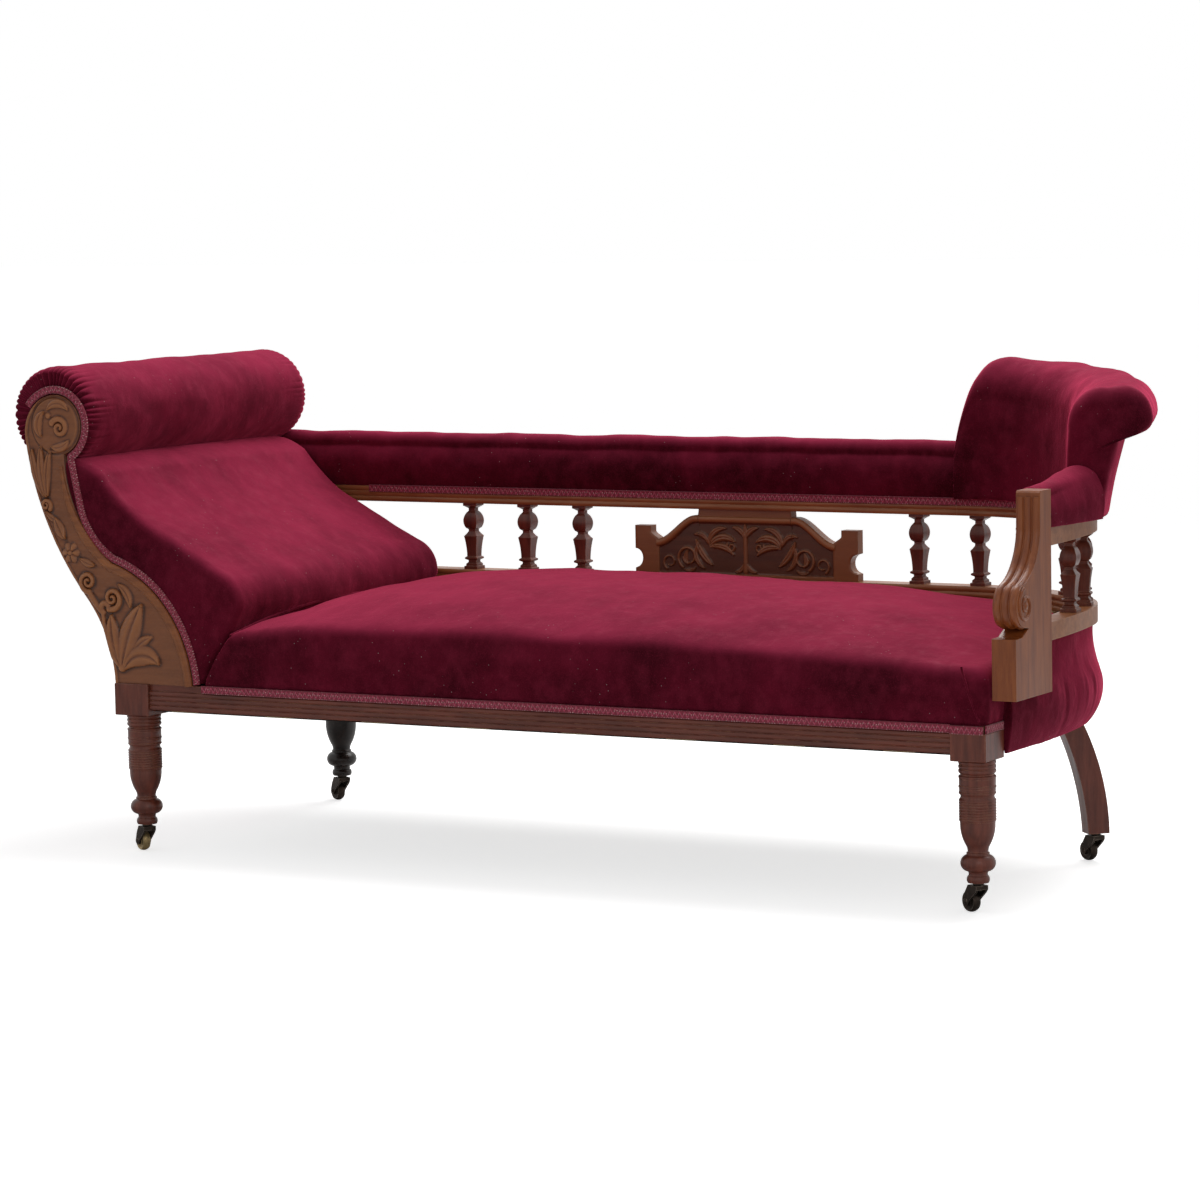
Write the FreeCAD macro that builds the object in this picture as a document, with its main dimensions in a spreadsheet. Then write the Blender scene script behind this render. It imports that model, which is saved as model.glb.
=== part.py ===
import FreeCAD, Part
import math
import os
import Sketcher
from FreeCAD import Placement, Rotation, Vector

# A fainting couch: one scroll head with a bolster, a low open back, a wing round the back right
# corner, a domed sprung seat and four swivel castors.
# +X runs from the head to the foot, +Y to the back, +Z up, and the origin is on the floor.

SIZES = [
    ("leg_spacing", 1476.5, "front leg axis to front leg axis"),
    ("leg_depth", 592, "front leg axis to back leg axis"),
    ("frame_centre", 38.75, "origin to the middle between the front legs, along X"),
    ("front_line", -325, "origin to the front leg axes, along Y"),
    ("castor_height", 46, "floor to the underside of a leg"),
    ("leg_height", 181, "underside of a leg to its block"),
    ("block_height", 52, "leg block"),
    ("block_inner", 30, "leg axis to the inner face of its block"),
    ("left_block_outer", 35.5, "leg axis to the outer face of a left block"),
    ("right_block_outer", 27, "leg axis to the outer face of the right block"),
    ("block_front", 31, "leg axis to the front face of its block"),
    ("block_back", 37, "leg axis to the back face of its block"),
    ("peg_radius", 9, "peg on top of a turned leg"),
    ("peg_length", 30, "peg on top of a turned leg"),
    ("rail_drop", 10, "underside of a block to the underside of a rail"),
    ("rail_face", 31, "height of the reeded face of the front rail"),
    ("rail_thickness", 30, "thickness of a seat rail"),
    ("rail_set_back", 4, "block face to rail face, and depth of the rebate for the cover"),
    ("facing_thickness", 22, "scroll head facing and rear head upright"),
    ("cover_set_back", 7, "face of the facing to the face of the upholstery beside it"),
    ("boss_radius", 50, "round boss at the top of the facing"),
    ("bolster_radius", 79, "bolster"),
    ("top_rail_radius", 22, "round rail inside the bolster"),
    ("seat_edge", 96, "block top to the front top edge of the seat"),
    ("seat_crown", 66, "rise of the seat from its edge to its middle"),
    ("spring_height", 84, "seat springs"),
    ("spring_radius", 32, "seat springs"),
    ("lower_rail_rise", 135, "block top to the top of the lower back rail"),
    ("back_gap", 114, "lower back rail to upper back rail"),
    ("back_rail_height", 27, "height of either back rail"),
    ("back_rail_width", 38, "width of either back rail"),
    ("back_roll", 92, "height of the padded roll on the upper back rail"),
    ("back_face", 610, "front leg axes to the inner face of the back rails"),
    ("side_radius", 1500, "bow of the right end, in plan"),
    ("corner_radius", 320, "back right corner, in plan"),
    ("side_line", 33, "right leg axis to the middle of the end rails at the arm post"),
    ("post_front", 12, "front leg axes to the front of the arm post's foot"),
    ("post_back", 121, "front leg axes to the back of the arm post"),
    ("post_thickness", 38, "arm post"),
    ("post_set_in", 3, "middle of the end rails to the inner face of the arm post"),
    ("post_foot", 37, "block top to the underside of the arm post"),
    ("post_top", 336, "block top to the top of the arm post"),
    ("wing_rise", 228, "upper back rail to the crest of the wing, at the back"),
    ("wing_fall", 30, "how far the crest drops from the back to the end"),
    ("wing_roll", 128, "how far the wing rolls out over the end rail"),
    ("wing_end", 300, "front leg axes to the end face of the wing"),
    ("baluster_half", 13, "half the width of a baluster at its widest"),
    ("panel_half", 207.5, "half the width of the carved panel"),
    ("panel_offset", 48, "middle between the front legs to the middle of the panel"),
    ("panel_thickness", 20, "carved panel"),
    ("sabre_width", 38, "sabre leg, in the plane of its sweep"),
    ("sabre_thickness", 28, "sabre leg, across its sweep"),
    ("sabre_turn", 44, "direction of the sabre leg's sweep, in degrees from +X"),
    ("sabre_sweep", 52, "how far the sabre leg sweeps out from its rail"),
    ("sabre_inset", 17, "right leg axis to the foot of the sabre leg, along X"),
    ("sabre_forward", 100, "back leg axis to the foot of the sabre leg, along Y"),
    ("wheel_radius", 16.5, "castor wheel"),
    ("wheel_width", 13, "castor wheel"),
    ("castor_trail", 18, "castor stem to wheel axle"),
    ("castor_turn", 149, "direction of a wheel from its stem, in degrees from +X"),
    ("stem_radius", 4, "castor stem"),
    ("stem_depth", 34, "castor stem inside its leg"),
    ("axle_radius", 2.5, "castor axle pin"),
    ("running_fit", 0.05, "radial clearance of a turning pin"),
    ("pad_gap", 0.5, "clearance round a soft piece"),
]

doc = FreeCAD.newDocument("FaintingCouch")
sheet = doc.addObject("Spreadsheet::Sheet", "Sizes")


class Dim:
    """A length that knows both its value and the sheet expression that gives it."""

    def __init__(self, value, text):
        self.value = float(value)
        self.text = text

    def _join(self, sign, other, value):
        text = other.text if isinstance(other, Dim) else repr(float(other))
        return Dim(value, "(%s %s %s)" % (self.text, sign, text))

    def __add__(self, other):
        return self._join("+", other, self.value + float(other))

    def __sub__(self, other):
        return self._join("-", other, self.value - float(other))

    def __mul__(self, other):
        return self._join("*", other, self.value * float(other))

    def __truediv__(self, other):
        return self._join("/", other, self.value / float(other))

    def __float__(self):
        return self.value


def fill_sheet():
    """Write the driving sizes as plain numbers with aliases."""
    for row, (alias, value, note) in enumerate(SIZES, 1):
        sheet.set("A%d" % row, alias)
        sheet.set("B%d" % row, str(value))
        sheet.set("C%d" % row, note)
        sheet.setAlias("B%d" % row, alias)
    doc.recompute()


def size(alias):
    return Dim(sheet.get(alias), "Sizes." + alias)


fill_sheet()

# Lines that many pieces share.
LEFT_LEG = size("frame_centre") - size("leg_spacing") / 2
RIGHT_LEG = size("frame_centre") + size("leg_spacing") / 2
FRONT_LEG = size("front_line")
BACK_LEG = FRONT_LEG + size("leg_depth")
LEG_BASE = size("castor_height")
LEG_TOP = LEG_BASE + size("leg_height")
BLOCK_TOP = LEG_TOP + size("block_height")
RAIL_BASE = LEG_TOP + size("rail_drop")
RAIL_FACE_TOP = RAIL_BASE + size("rail_face")
RAIL_TOP = BLOCK_TOP
RAIL_FRONT = FRONT_LEG - size("block_front") + size("rail_set_back")
RAIL_BACK = RAIL_FRONT + size("rail_thickness")
LEFT_INNER = LEFT_LEG + size("block_inner")
RIGHT_INNER = RIGHT_LEG - size("block_inner")
FACING_FRONT = FRONT_LEG - size("block_front")
FACING_BACK = FACING_FRONT + size("facing_thickness")
UPRIGHT_BACK = BACK_LEG + size("block_back")
UPRIGHT_FRONT = UPRIGHT_BACK - size("facing_thickness")
BACK_FACE = FRONT_LEG + size("back_face")
BACK_MIDDLE = BACK_FACE + size("back_rail_width") / 2
BACK_OUTER = BACK_FACE + size("back_rail_width")
LOWER_TOP = BLOCK_TOP + size("lower_rail_rise")
LOWER_BASE = LOWER_TOP - size("back_rail_height")
UPPER_BASE = LOWER_TOP + size("back_gap")
UPPER_TOP = UPPER_BASE + size("back_rail_height")
POST_FRONT = FRONT_LEG - size("post_front")
POST_BACK = FRONT_LEG + size("post_back")
SIDE_X = RIGHT_LEG + size("side_line")
POST_INNER = SIDE_X - size("post_set_in")
PANEL_X = size("frame_centre") + size("panel_offset")
GAP = float(size("pad_gap"))
SEAT_RAIL_OUTER = -8.0
PARTS = []


def keep(feature):
    """List a finished piece; its label is the name of its node."""
    PARTS.append(feature)
    return feature


def bind(target, prop, dim):
    """Bind one property to the sheet, or set it where the value is a plain number."""
    if isinstance(dim, Dim):
        target.setExpression(prop, dim.text)
    else:
        setattr(target, prop, dim)


def place(feature, x=0.0, y=0.0, z=0.0, turn=0.0):
    """Put a feature's origin at x, y, z, turned about Z by an angle in degrees."""
    spin = Rotation(Vector(0, 0, 1), float(turn))
    feature.Placement = Placement(Vector(float(x), float(y), float(z)), spin)
    for prop, dim in (("x", x), ("y", y), ("z", z)):
        if isinstance(dim, Dim):
            feature.setExpression("Placement.Base." + prop, dim.text)
    return feature


def between(limits):
    """The span between two limits, bound to the sheet where either of them is."""
    low, high = limits
    if isinstance(low, Dim) and not isinstance(high, Dim):
        return Dim(high, repr(float(high))) - low
    return high - low


def box(label, x, y, z):
    """A plain block between pairs of limits."""
    part = doc.addObject("Part::Box", label)
    for prop, limits in (("Length", x), ("Width", y), ("Height", z)):
        bind(part, prop, between(limits))
    return place(part, x[0], y[0], z[0])


def cylinder(label, radius, length, x, y, z):
    """An upright cylinder that stands on x, y, z."""
    part = doc.addObject("Part::Cylinder", label)
    bind(part, "Radius", radius)
    bind(part, "Height", length)
    return place(part, x, y, z)


def eased_box(label, x, y, z, ease=1.2):
    """A block with its edges eased by a plane."""
    base = box(label + "_blank", x, y, z)
    doc.recompute()
    eased = doc.addObject("Part::Chamfer", label)
    eased.Base = base
    eased.Edges = [(number + 1, ease, ease) for number in range(len(base.Shape.Edges))]
    return eased


def solid(label, shape, offset=None):
    """A piece whose shape its own function works out from the sheet."""
    part = doc.addObject("Part::Feature", label)
    part.Shape = shape
    part.Placement = shape.Placement
    if offset is not None:
        place(part, *offset)
    return part


def cut(label, base, tool):
    result = doc.addObject("Part::Cut", label)
    result.Base = base
    result.Tool = tool
    return result


def common(label, first, second):
    result = doc.addObject("Part::Common", label)
    result.Base = first
    result.Tool = second
    return result


def fuse(label, pieces):
    result = doc.addObject("Part::MultiFuse", label)
    result.Shapes = pieces
    return result


def group(label, pieces):
    """Identical pieces that share one node as separate solids."""
    result = doc.addObject("Part::Compound", label)
    result.Links = pieces
    return result


def line(first, last):
    return Part.LineSegment(Vector(first[0], first[1], 0), Vector(last[0], last[1], 0))


def arc(first, middle, last):
    points = [Vector(float(p[0]), float(p[1]), 0) for p in (first, middle, last)]
    return Part.Arc(*points)


def outline(points, closed=True):
    """Edges through points (u, v); a point (u, v, 'arc') is the middle of an arc."""
    path = [tuple(map(float, p[:2])) + p[2:] for p in points]
    if closed:
        path.append(path[0])
    edges = []
    index = 0
    while index < len(path) - 1:
        if len(path[index + 1]) == 3:
            edges.append(arc(path[index], path[index + 1], path[index + 2]))
            index += 2
        else:
            edges.append(line(path[index], path[index + 1]))
            index += 1
    return edges


def flat_wire(points, closed=True):
    return Part.Wire([edge.toShape() for edge in outline(points, closed)])


def prism(points, depth):
    """A board of the XY plane, depth thick."""
    return Part.Face(flat_wire(points)).extrude(Vector(0, 0, float(depth)))


def front_prism(face, front, back):
    """A board that faces the front: a face drawn in XY, stood up between two depths."""
    shape = face.extrude(Vector(0, 0, float(back) - float(front)))
    shape.rotate(Vector(0, 0, 0), Vector(1, 0, 0), 90)
    shape.translate(Vector(0, float(back), 0))
    return shape


def origin_plane(body, role):
    return [feature for feature in body.Origin.OriginFeatures if feature.Role == role][0]


def attached_sketch(body, name, plane):
    sketch = body.newObject("Sketcher::SketchObject", name)
    sketch.AttachmentSupport = [(origin_plane(body, plane), "")]
    sketch.MapMode = "FlatFace"
    return sketch


def point_order(edge):
    """Numbers of an edge's start and end in a sketch, where every arc runs anticlockwise."""
    backwards = isinstance(edge, Part.Arc) and edge.toShape().Curve.Axis.z < 0
    return (2, 1) if backwards else (1, 2)


def outline_sketch(body, name, plane, edges):
    """A closed outline whose corners are tied to each other."""
    sketch = attached_sketch(body, name, plane)
    sketch.addGeometry(edges, False)
    count = len(edges)
    for index in range(count):
        following = (index + 1) % count
        end = point_order(edges[index])[1]
        start = point_order(edges[following])[0]
        sketch.addConstraint(Sketcher.Constraint("Coincident", index, end, following, start))
    return sketch


def circle_sketch(body, name, plane, centre, radius):
    sketch = attached_sketch(body, name, plane)
    middle = Vector(centre[0], centre[1], 0)
    sketch.addGeometry([Part.Circle(middle, Vector(0, 0, 1), float(radius))], False)
    sketch.addConstraint(Sketcher.Constraint("Radius", 0, float(radius)))
    if isinstance(radius, Dim):
        sketch.setExpression("Constraints[0]", radius.text)
    return sketch


def board(label, plane, edges, depth, both_ways=False):
    """An outline on one of the body's planes, padded to its thickness."""
    body = doc.addObject("PartDesign::Body", label)
    pad = body.newObject("PartDesign::Pad", label + "_pad")
    pad.Profile = outline_sketch(body, label + "_outline", plane, edges)
    bind(pad, "Length", depth)
    if both_ways:
        pad.SideType = "Symmetric"
    return body


def pocket(body, name, sketch, depth, reverse=False, both_ways=False):
    feature = body.newObject("PartDesign::Pocket", name)
    feature.Profile = sketch
    bind(feature, "Length", depth)
    feature.Reversed = reverse
    if both_ways:
        feature.SideType = "Symmetric"
    return feature


def turned(label, edges):
    """A piece turned about its own Z axis from a half outline of radius and height."""
    body = doc.addObject("PartDesign::Body", label)
    turning = body.newObject("PartDesign::Revolution", label + "_turning")
    sketch = outline_sketch(body, label + "_profile", "XZ_Plane", edges)
    turning.Profile = sketch
    turning.ReferenceAxis = (sketch, ["V_Axis"])
    turning.Angle = 360
    return body


# Castors: a stem fixed in the leg, a horn that swivels on it, and a wheel on its axle.

CROWN_TOP = 42.0
CROWN_BASE = 36.0
COLLAR_GAP = 0.3
CHEEK = 3.5
CHEEK_GAP = 0.8
AXLE_HEAD = 4.5
HEAD_RISE = 2.5


def sabre_foot():
    return RIGHT_LEG - size("sabre_inset"), BACK_LEG - size("sabre_forward")


def castor_sites():
    """Name, X and Y of each castor."""
    foot_x, foot_y = sabre_foot()
    return [("front_left", LEFT_LEG, FRONT_LEG), ("front_right", RIGHT_LEG, FRONT_LEG),
            ("back_left", LEFT_LEG, BACK_LEG), ("back_right", foot_x, foot_y)]


def castor_stem(name, x, y):
    """A pin with a collar under the leg and a riveted end under the horn's crown."""
    radius = size("stem_radius")
    top = LEG_BASE + size("stem_depth")
    collar = CROWN_TOP + COLLAR_GAP
    rivet = CROWN_BASE - COLLAR_GAP
    profile = [(0, rivet - 2), (5.2, rivet - 2), (6.2, rivet), (radius, rivet),
               (radius, collar), (7.5, collar), (8, collar + 1), (8, LEG_BASE),
               (radius, LEG_BASE), (radius, top), (0, top)]
    return place(turned("castor_stem_" + name, outline(profile)), x, y)


def castor_horn(name, x, y):
    """A crown bored for the stem, and two cheeks that reach down to the axle."""
    trail = float(size("castor_trail"))
    axle_z = float(size("wheel_radius"))
    slot = size("wheel_width") + 2 * CHEEK_GAP
    eye = 6.5
    side = [(9.5, CROWN_TOP), (9.5, CROWN_BASE), (5.5, CROWN_BASE - 5), (eye - trail, axle_z),
            (-trail, axle_z - eye, "arc"), (-trail - eye, axle_z), (-trail - 2, 30),
            (-12, CROWN_TOP)]
    label = "castor_horn_" + name
    body = board(label, "XZ_Plane", outline(side), slot + 2 * CHEEK, both_ways=True)
    half = float(slot) / 2
    opening = outline([(-40, -half), (14, -half), (14, half), (-40, half)])
    sketch = outline_sketch(body, label + "_slot_outline", "XY_Plane", opening)
    pocket(body, label + "_slot", sketch, CROWN_BASE, reverse=True)
    bore = circle_sketch(body, label + "_bore_outline", "XY_Plane", (0, 0),
                         size("stem_radius") + size("running_fit"))
    pocket(body, label + "_bore", bore, CROWN_TOP + 1, reverse=True)
    hole = circle_sketch(body, label + "_hole_outline", "XZ_Plane", (-trail, axle_z),
                         size("axle_radius"))
    pocket(body, label + "_hole", hole, slot + 4 * CHEEK, both_ways=True)
    return place(body, x, y, 0.0, castor_heading())


def castor_heading():
    """The horn is drawn with its wheel towards -X, so it turns half round from there."""
    return float(size("castor_turn")) - 180.0


def along_axle(part, x, y):
    """Lay a piece that is turned about Z along the axle of its castor."""
    heading = math.radians(castor_heading())
    trail = float(size("castor_trail"))
    centre = Vector(float(x) - trail * math.cos(heading), float(y) - trail * math.sin(heading),
                    float(size("wheel_radius")))
    upright = Rotation(Vector(1, 0, 0), 90)
    part.Placement = Placement(centre, Rotation(Vector(0, 0, 1), castor_heading()) * upright)
    return part


def castor_wheel(name, x, y):
    """A wheel with a rounded tread."""
    radius = size("wheel_radius")
    half = size("wheel_width") / 2
    bore = size("axle_radius") + size("running_fit")
    shoulder = radius - 2.0
    profile = [(bore, -float(half)), (6.5, -float(half)), (7.5, 1 - float(half)),
               (11.5, 1 - float(half)), (shoulder, -float(half)), (radius, 0, "arc"),
               (shoulder, half), (11.5, half - 1), (7.5, half - 1), (6.5, half), (bore, half)]
    return along_axle(turned("castor_wheel_" + name, outline(profile)), x, y)


def castor_axle(name, x, y):
    """A pin with a domed head outside each cheek."""
    radius = size("axle_radius")
    inside = float(size("wheel_width")) / 2 + CHEEK_GAP + CHEEK
    dome = (AXLE_HEAD ** 2 + HEAD_RISE ** 2) / (2 * HEAD_RISE)
    half_turn = math.asin(AXLE_HEAD / dome) / 2
    middle_r = dome * math.sin(half_turn)
    middle_z = inside + HEAD_RISE - dome * (1 - math.cos(half_turn))
    profile = [(0, -inside - HEAD_RISE), (middle_r, -middle_z, "arc"), (AXLE_HEAD, -inside),
               (radius, -inside), (radius, inside), (AXLE_HEAD, inside),
               (middle_r, middle_z, "arc"), (0, inside + HEAD_RISE)]
    return along_axle(turned("castor_axle_" + name, outline(profile)), x, y)


def build_castors():
    keep(group("castor_stems", [castor_stem(*site) for site in castor_sites()]))
    for site in castor_sites():
        keep(castor_horn(*site))
        keep(castor_wheel(*site))
        keep(castor_axle(*site))


# Legs and blocks.

def rings(radius, depth, top, pitch, count):
    """Half-round rings from a height downwards, each its pitch high."""
    points = []
    for number in range(count):
        height = top - number * pitch
        points += [(radius - depth, height), (radius, height - pitch / 2, "arc")]
    points.append((radius - depth, top - count * pitch))
    return points


def leg_foot():
    """Vase foot, bulb, neck and bead, from the vase down to the bore for the stem."""
    base = float(LEG_BASE)
    bore = float(size("stem_radius"))
    top = base + float(size("stem_depth"))
    return [(18, base + 56), (15.8, base + 51, "arc"), (15.2, base + 45.5), (17, base + 44.5),
            (17, base + 41.5), (19, base + 40.5), (26, base + 29, "arc"), (19, base + 18),
            (15, base + 16.5), (14, base + 13, "arc"), (14.5, base + 10.5), (15.5, base + 10),
            (17, base + 5, "arc"), (15.5, base), (bore, base), (bore, top), (0, top)]


def leg_peg():
    top = float(LEG_TOP)
    radius = float(size("peg_radius"))
    length = float(size("peg_length"))
    return [(0, top + length), (radius - 1, top + length), (radius, top + length - 1),
            (radius, top)]


def front_leg(label, x, y):
    """Three rings, a beaded drum, eight fine rings, a vase and a bulb."""
    top = float(LEG_TOP)
    ring_radius = 28.0
    profile = leg_peg()
    profile += rings(ring_radius, 1.6, top, 6.3, 3)
    profile += [(25.2, top - 20), (25.2, top - 21.5)]
    profile += rings(ring_radius, 1.3, top - 22.5, 4.0, 1)
    profile += [(27.2, top - 27.5), (27.2, top - 36)]
    profile += rings(ring_radius, 1.3, top - 37, 4.0, 1)
    profile += [(27.0, top - 42), (27.0, top - 45.5)]
    profile += rings(27.6, 1.2, top - 46.5, 3.2, 1)
    profile += [(25, top - 52), (25, top - 54.5)]
    profile += rings(27.6, 1.2, top - 57, 4.1, 8)
    profile += [(26, top - 92), (24.4, float(LEG_BASE) + 73, "arc")]
    profile += leg_foot()
    return keep(place(turned(label, outline(profile)), x, y))


def plain_leg(label, x, y):
    """The back leg has the same foot under a plain drum."""
    top = float(LEG_TOP)
    profile = leg_peg() + rings(27.0, 1.6, top, 6.3, 2)
    profile += [(24.5, top - 14.5), (24.5, top - 17), (26, top - 18), (26.5, top - 90),
                (24.4, float(LEG_BASE) + 73, "arc")]
    profile += leg_foot()
    return keep(place(turned(label, outline(profile)), x, y))


def sabre_leg():
    """A leg sawn from a board to a sweep that leaves its rail and ends upright."""
    base = float(LEG_BASE)
    rise = float(RAIL_BASE) - base
    width = float(size("sabre_width"))
    sweep = float(size("sabre_sweep"))
    middle = base + 0.5 * rise

    def back_of(height, reach):
        return reach - sweep * ((height - base) / rise) ** 1.9

    profile = [(back_of(base, -width / 2 + 2), base), (back_of(base, width / 2 - 1), base),
               (back_of(middle, width / 2), middle, "arc"),
               (back_of(base + rise, width / 2), base + rise),
               (back_of(base + rise, -width / 2), base + rise),
               (back_of(middle, -width / 2), middle, "arc")]
    foot_x, foot_y = sabre_foot()
    body = board("back_right_leg", "XZ_Plane", outline(profile), size("sabre_thickness"), True)
    depth = size("stem_depth") + LEG_BASE
    bore = circle_sketch(body, "back_right_leg_bore_outline", "XY_Plane", (0, 0),
                         size("stem_radius"))
    pocket(body, "back_right_leg_bore", bore, depth, reverse=True)
    return keep(place(body, foot_x, foot_y, 0.0, size("sabre_turn")))


def leg_block(label, x, y, leg_x, leg_y):
    """A block bored for its leg's peg."""
    blank = eased_box(label + "_eased", x, y, (LEG_TOP, BLOCK_TOP))
    bore = cylinder(label + "_bore", size("peg_radius") + 0.1, size("peg_length") + 0.5,
                    leg_x, leg_y, LEG_TOP)
    return cut(label, blank, bore)


def build_legs():
    front_leg("front_left_leg", LEFT_LEG, FRONT_LEG)
    front_leg("front_right_leg", RIGHT_LEG, FRONT_LEG)
    plain_leg("back_left_leg", LEFT_LEG, BACK_LEG)
    sabre_leg()
    outer = LEFT_LEG - size("left_block_outer")
    front = (FRONT_LEG - size("block_front"), FRONT_LEG + size("block_back"))
    back = (BACK_LEG - size("block_front"), BACK_LEG + size("block_back"))
    keep(leg_block("front_left_block", (outer, LEFT_INNER), front, LEFT_LEG, FRONT_LEG))
    keep(leg_block("back_left_block", (outer, LEFT_INNER), back, LEFT_LEG, BACK_LEG))
    right = RIGHT_LEG + size("right_block_outer")
    block = leg_block("front_right_block_bored", (RIGHT_INNER, right), front, RIGHT_LEG,
                      FRONT_LEG)
    keep(rebated_block(block, right, front))


def rebated_block(block, right, front):
    """The right block is rebated above the rail's face, where the cover is tacked."""
    depth = size("rail_set_back")
    reach = (RIGHT_INNER - 5.0, right + 5.0)
    across = box("front_right_rebate_front", reach, (front[0] - 5.0, front[0] + depth),
                 (RAIL_FACE_TOP, BLOCK_TOP + 5.0))
    along = box("front_right_rebate_side", (right - depth, right + 5.0),
                (front[0] - 5.0, front[1] + 5.0), (RAIL_FACE_TOP, BLOCK_TOP + 5.0))
    return cut("front_right_block", block, fuse("front_right_rebates", [across, along]))


# Plan of the right end: a shallow bow behind the arm post, then a large round corner.

def corner_start():
    """Angle at which the bow turns into the corner, from the +Y direction."""
    run = float(BACK_MIDDLE) - float(POST_BACK) - float(size("corner_radius"))
    return math.asin(run / (float(size("side_radius")) - float(size("corner_radius"))))


def bow_centre():
    return Vector(float(SIDE_X) - float(size("side_radius")), float(POST_BACK), 0)


def corner_centre():
    turn = corner_start()
    reach = float(size("side_radius")) - float(size("corner_radius"))
    return bow_centre() + Vector(math.cos(turn), math.sin(turn), 0) * reach


def bow_length():
    return float(size("side_radius")) * corner_start()


def end_length():
    """Length of the middle line from the arm post to the straight back."""
    return bow_length() + float(size("corner_radius")) * (math.pi / 2 - corner_start())


def end_angle(run):
    """Heading of the outward side at a run along the middle line from the post."""
    if run <= bow_length():
        return run / float(size("side_radius"))
    if run >= end_length():
        return math.pi / 2
    return corner_start() + (run - bow_length()) / float(size("corner_radius"))


def end_point(run, offset=0.0):
    """A point of the end's plan: run along the middle line, offset outwards from it."""
    angle = end_angle(run)
    outward = Vector(math.cos(angle), math.sin(angle), 0)
    if run < 0:
        return Vector(float(SIDE_X) + offset, float(POST_BACK) + run, 0)
    if run <= bow_length():
        return bow_centre() + outward * (float(size("side_radius")) + offset)
    if run >= end_length():
        return corner_centre() + Vector(end_length() - run,
                                        float(size("corner_radius")) + offset, 0)
    return corner_centre() + outward * (float(size("corner_radius")) + offset)


def end_arcs(offset, first, last):
    """Edges of the end's plan at an offset, between two runs, first to last."""
    stops = [first] + [s for s in (0.0, bow_length(), end_length()) if first < s < last] + [last]
    edges = []
    for begin, finish in zip(stops[:-1], stops[1:]):
        start = end_point(begin, offset)
        stop = end_point(finish, offset)
        if finish <= 0 or begin >= end_length():
            edges.append(Part.makeLine(start, stop))
        else:
            middle = end_point((begin + finish) / 2, offset)
            edges.append(Part.Arc(start, middle, stop).toShape())
    return edges


def end_band(inner, outer, first, last, base, top):
    """An upright band that follows the end's plan between two offsets and two runs."""
    outside = end_arcs(outer, first, last)
    inside = end_arcs(inner, first, last)
    caps = [Part.makeLine(end_point(first, inner), end_point(first, outer)),
            Part.makeLine(end_point(last, outer), end_point(last, inner))]
    wire = Part.Wire(Part.__sortEdges__(outside + inside + caps))
    band = Part.Face(wire).extrude(Vector(0, 0, float(top) - float(base)))
    band.translate(Vector(0, 0, float(base)))
    return band


def end_section(run, section):
    """Stand a section of (offset, height) points across the end's plan at a run."""
    wire = flat_wire(section)
    wire.rotate(Vector(0, 0, 0), Vector(1, 0, 0), 90)
    wire.rotate(Vector(0, 0, 0), Vector(0, 0, 1), math.degrees(end_angle(run)))
    wire.translate(end_point(run))
    return wire


def stations(first, last, pitch):
    """Evenly spaced runs from first to last, a pitch apart at most."""
    count = math.ceil((last - first) / pitch)
    return [first + (last - first) * number / count for number in range(count + 1)]


def end_loft(section_at, runs):
    """A soft form ruled through sections across the end's plan."""
    return Part.makeLoft([end_section(run, section_at(run)) for run in runs], True, True)


def plan_back(x, offset):
    """Y at which the plan, moved outwards by an offset, crosses an X."""
    centre = corner_centre()
    if x <= centre.x:
        return float(BACK_MIDDLE) + offset
    radius = float(size("corner_radius")) + offset
    return centre.y + math.sqrt(max(0.0, radius ** 2 - (x - centre.x) ** 2))


def plan_right(y, offset):
    """X at which the plan, moved outwards by an offset, crosses a Y."""
    centre = corner_centre()
    radius = float(size("corner_radius")) + offset
    if y <= float(POST_BACK):
        return float(SIDE_X) + offset
    if y - centre.y <= radius * math.sin(corner_start()):
        bow = float(size("side_radius")) + offset
        return bow_centre().x + math.sqrt(bow ** 2 - (y - float(POST_BACK)) ** 2)
    return centre.x + math.sqrt(max(0.0, radius ** 2 - (y - centre.y) ** 2))


def well_shape(left, front, offset, base, top):
    """A slab inside the plan at an offset, from a left line and a front line."""
    full = end_length()
    first = front - float(POST_BACK)
    curve = end_arcs(offset, first, full)
    start = end_point(first, offset)
    stop = end_point(full, offset)
    sides = Part.makePolygon([stop, Vector(left, stop.y, 0), Vector(left, front, 0), start])
    slab = Part.Face(Part.Wire(Part.__sortEdges__(curve + sides.Edges)))
    slab = slab.extrude(Vector(0, 0, float(top) - float(base)))
    slab.translate(Vector(0, 0, float(base)))
    return slab


# Seat rails.

def reeds(face, base, top, count, depth):
    """Reeds of a face that looks towards -Y, from the bottom up: arcs between sunk lines."""
    pitch = (float(top) - float(base)) / count
    points = []
    for number in range(count):
        low = float(base) + number * pitch
        points += [(float(face) + depth, low), (float(face), low + pitch / 2, "arc")]
    points.append((float(face) + depth, float(top)))
    return points


def front_rail():
    """The reeded rail between the blocks, rebated above for the cover."""
    step = RAIL_FRONT + size("rail_set_back")
    profile = [(RAIL_BACK, RAIL_BASE)] + reeds(RAIL_FRONT, RAIL_BASE, RAIL_FACE_TOP, 4, 2.2)
    profile += [(step, RAIL_FACE_TOP), (step, RAIL_TOP), (RAIL_BACK, RAIL_TOP)]
    body = board("front_rail", "YZ_Plane", outline(profile), RIGHT_INNER - LEFT_INNER)
    keep(place(body, LEFT_INNER))


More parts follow.
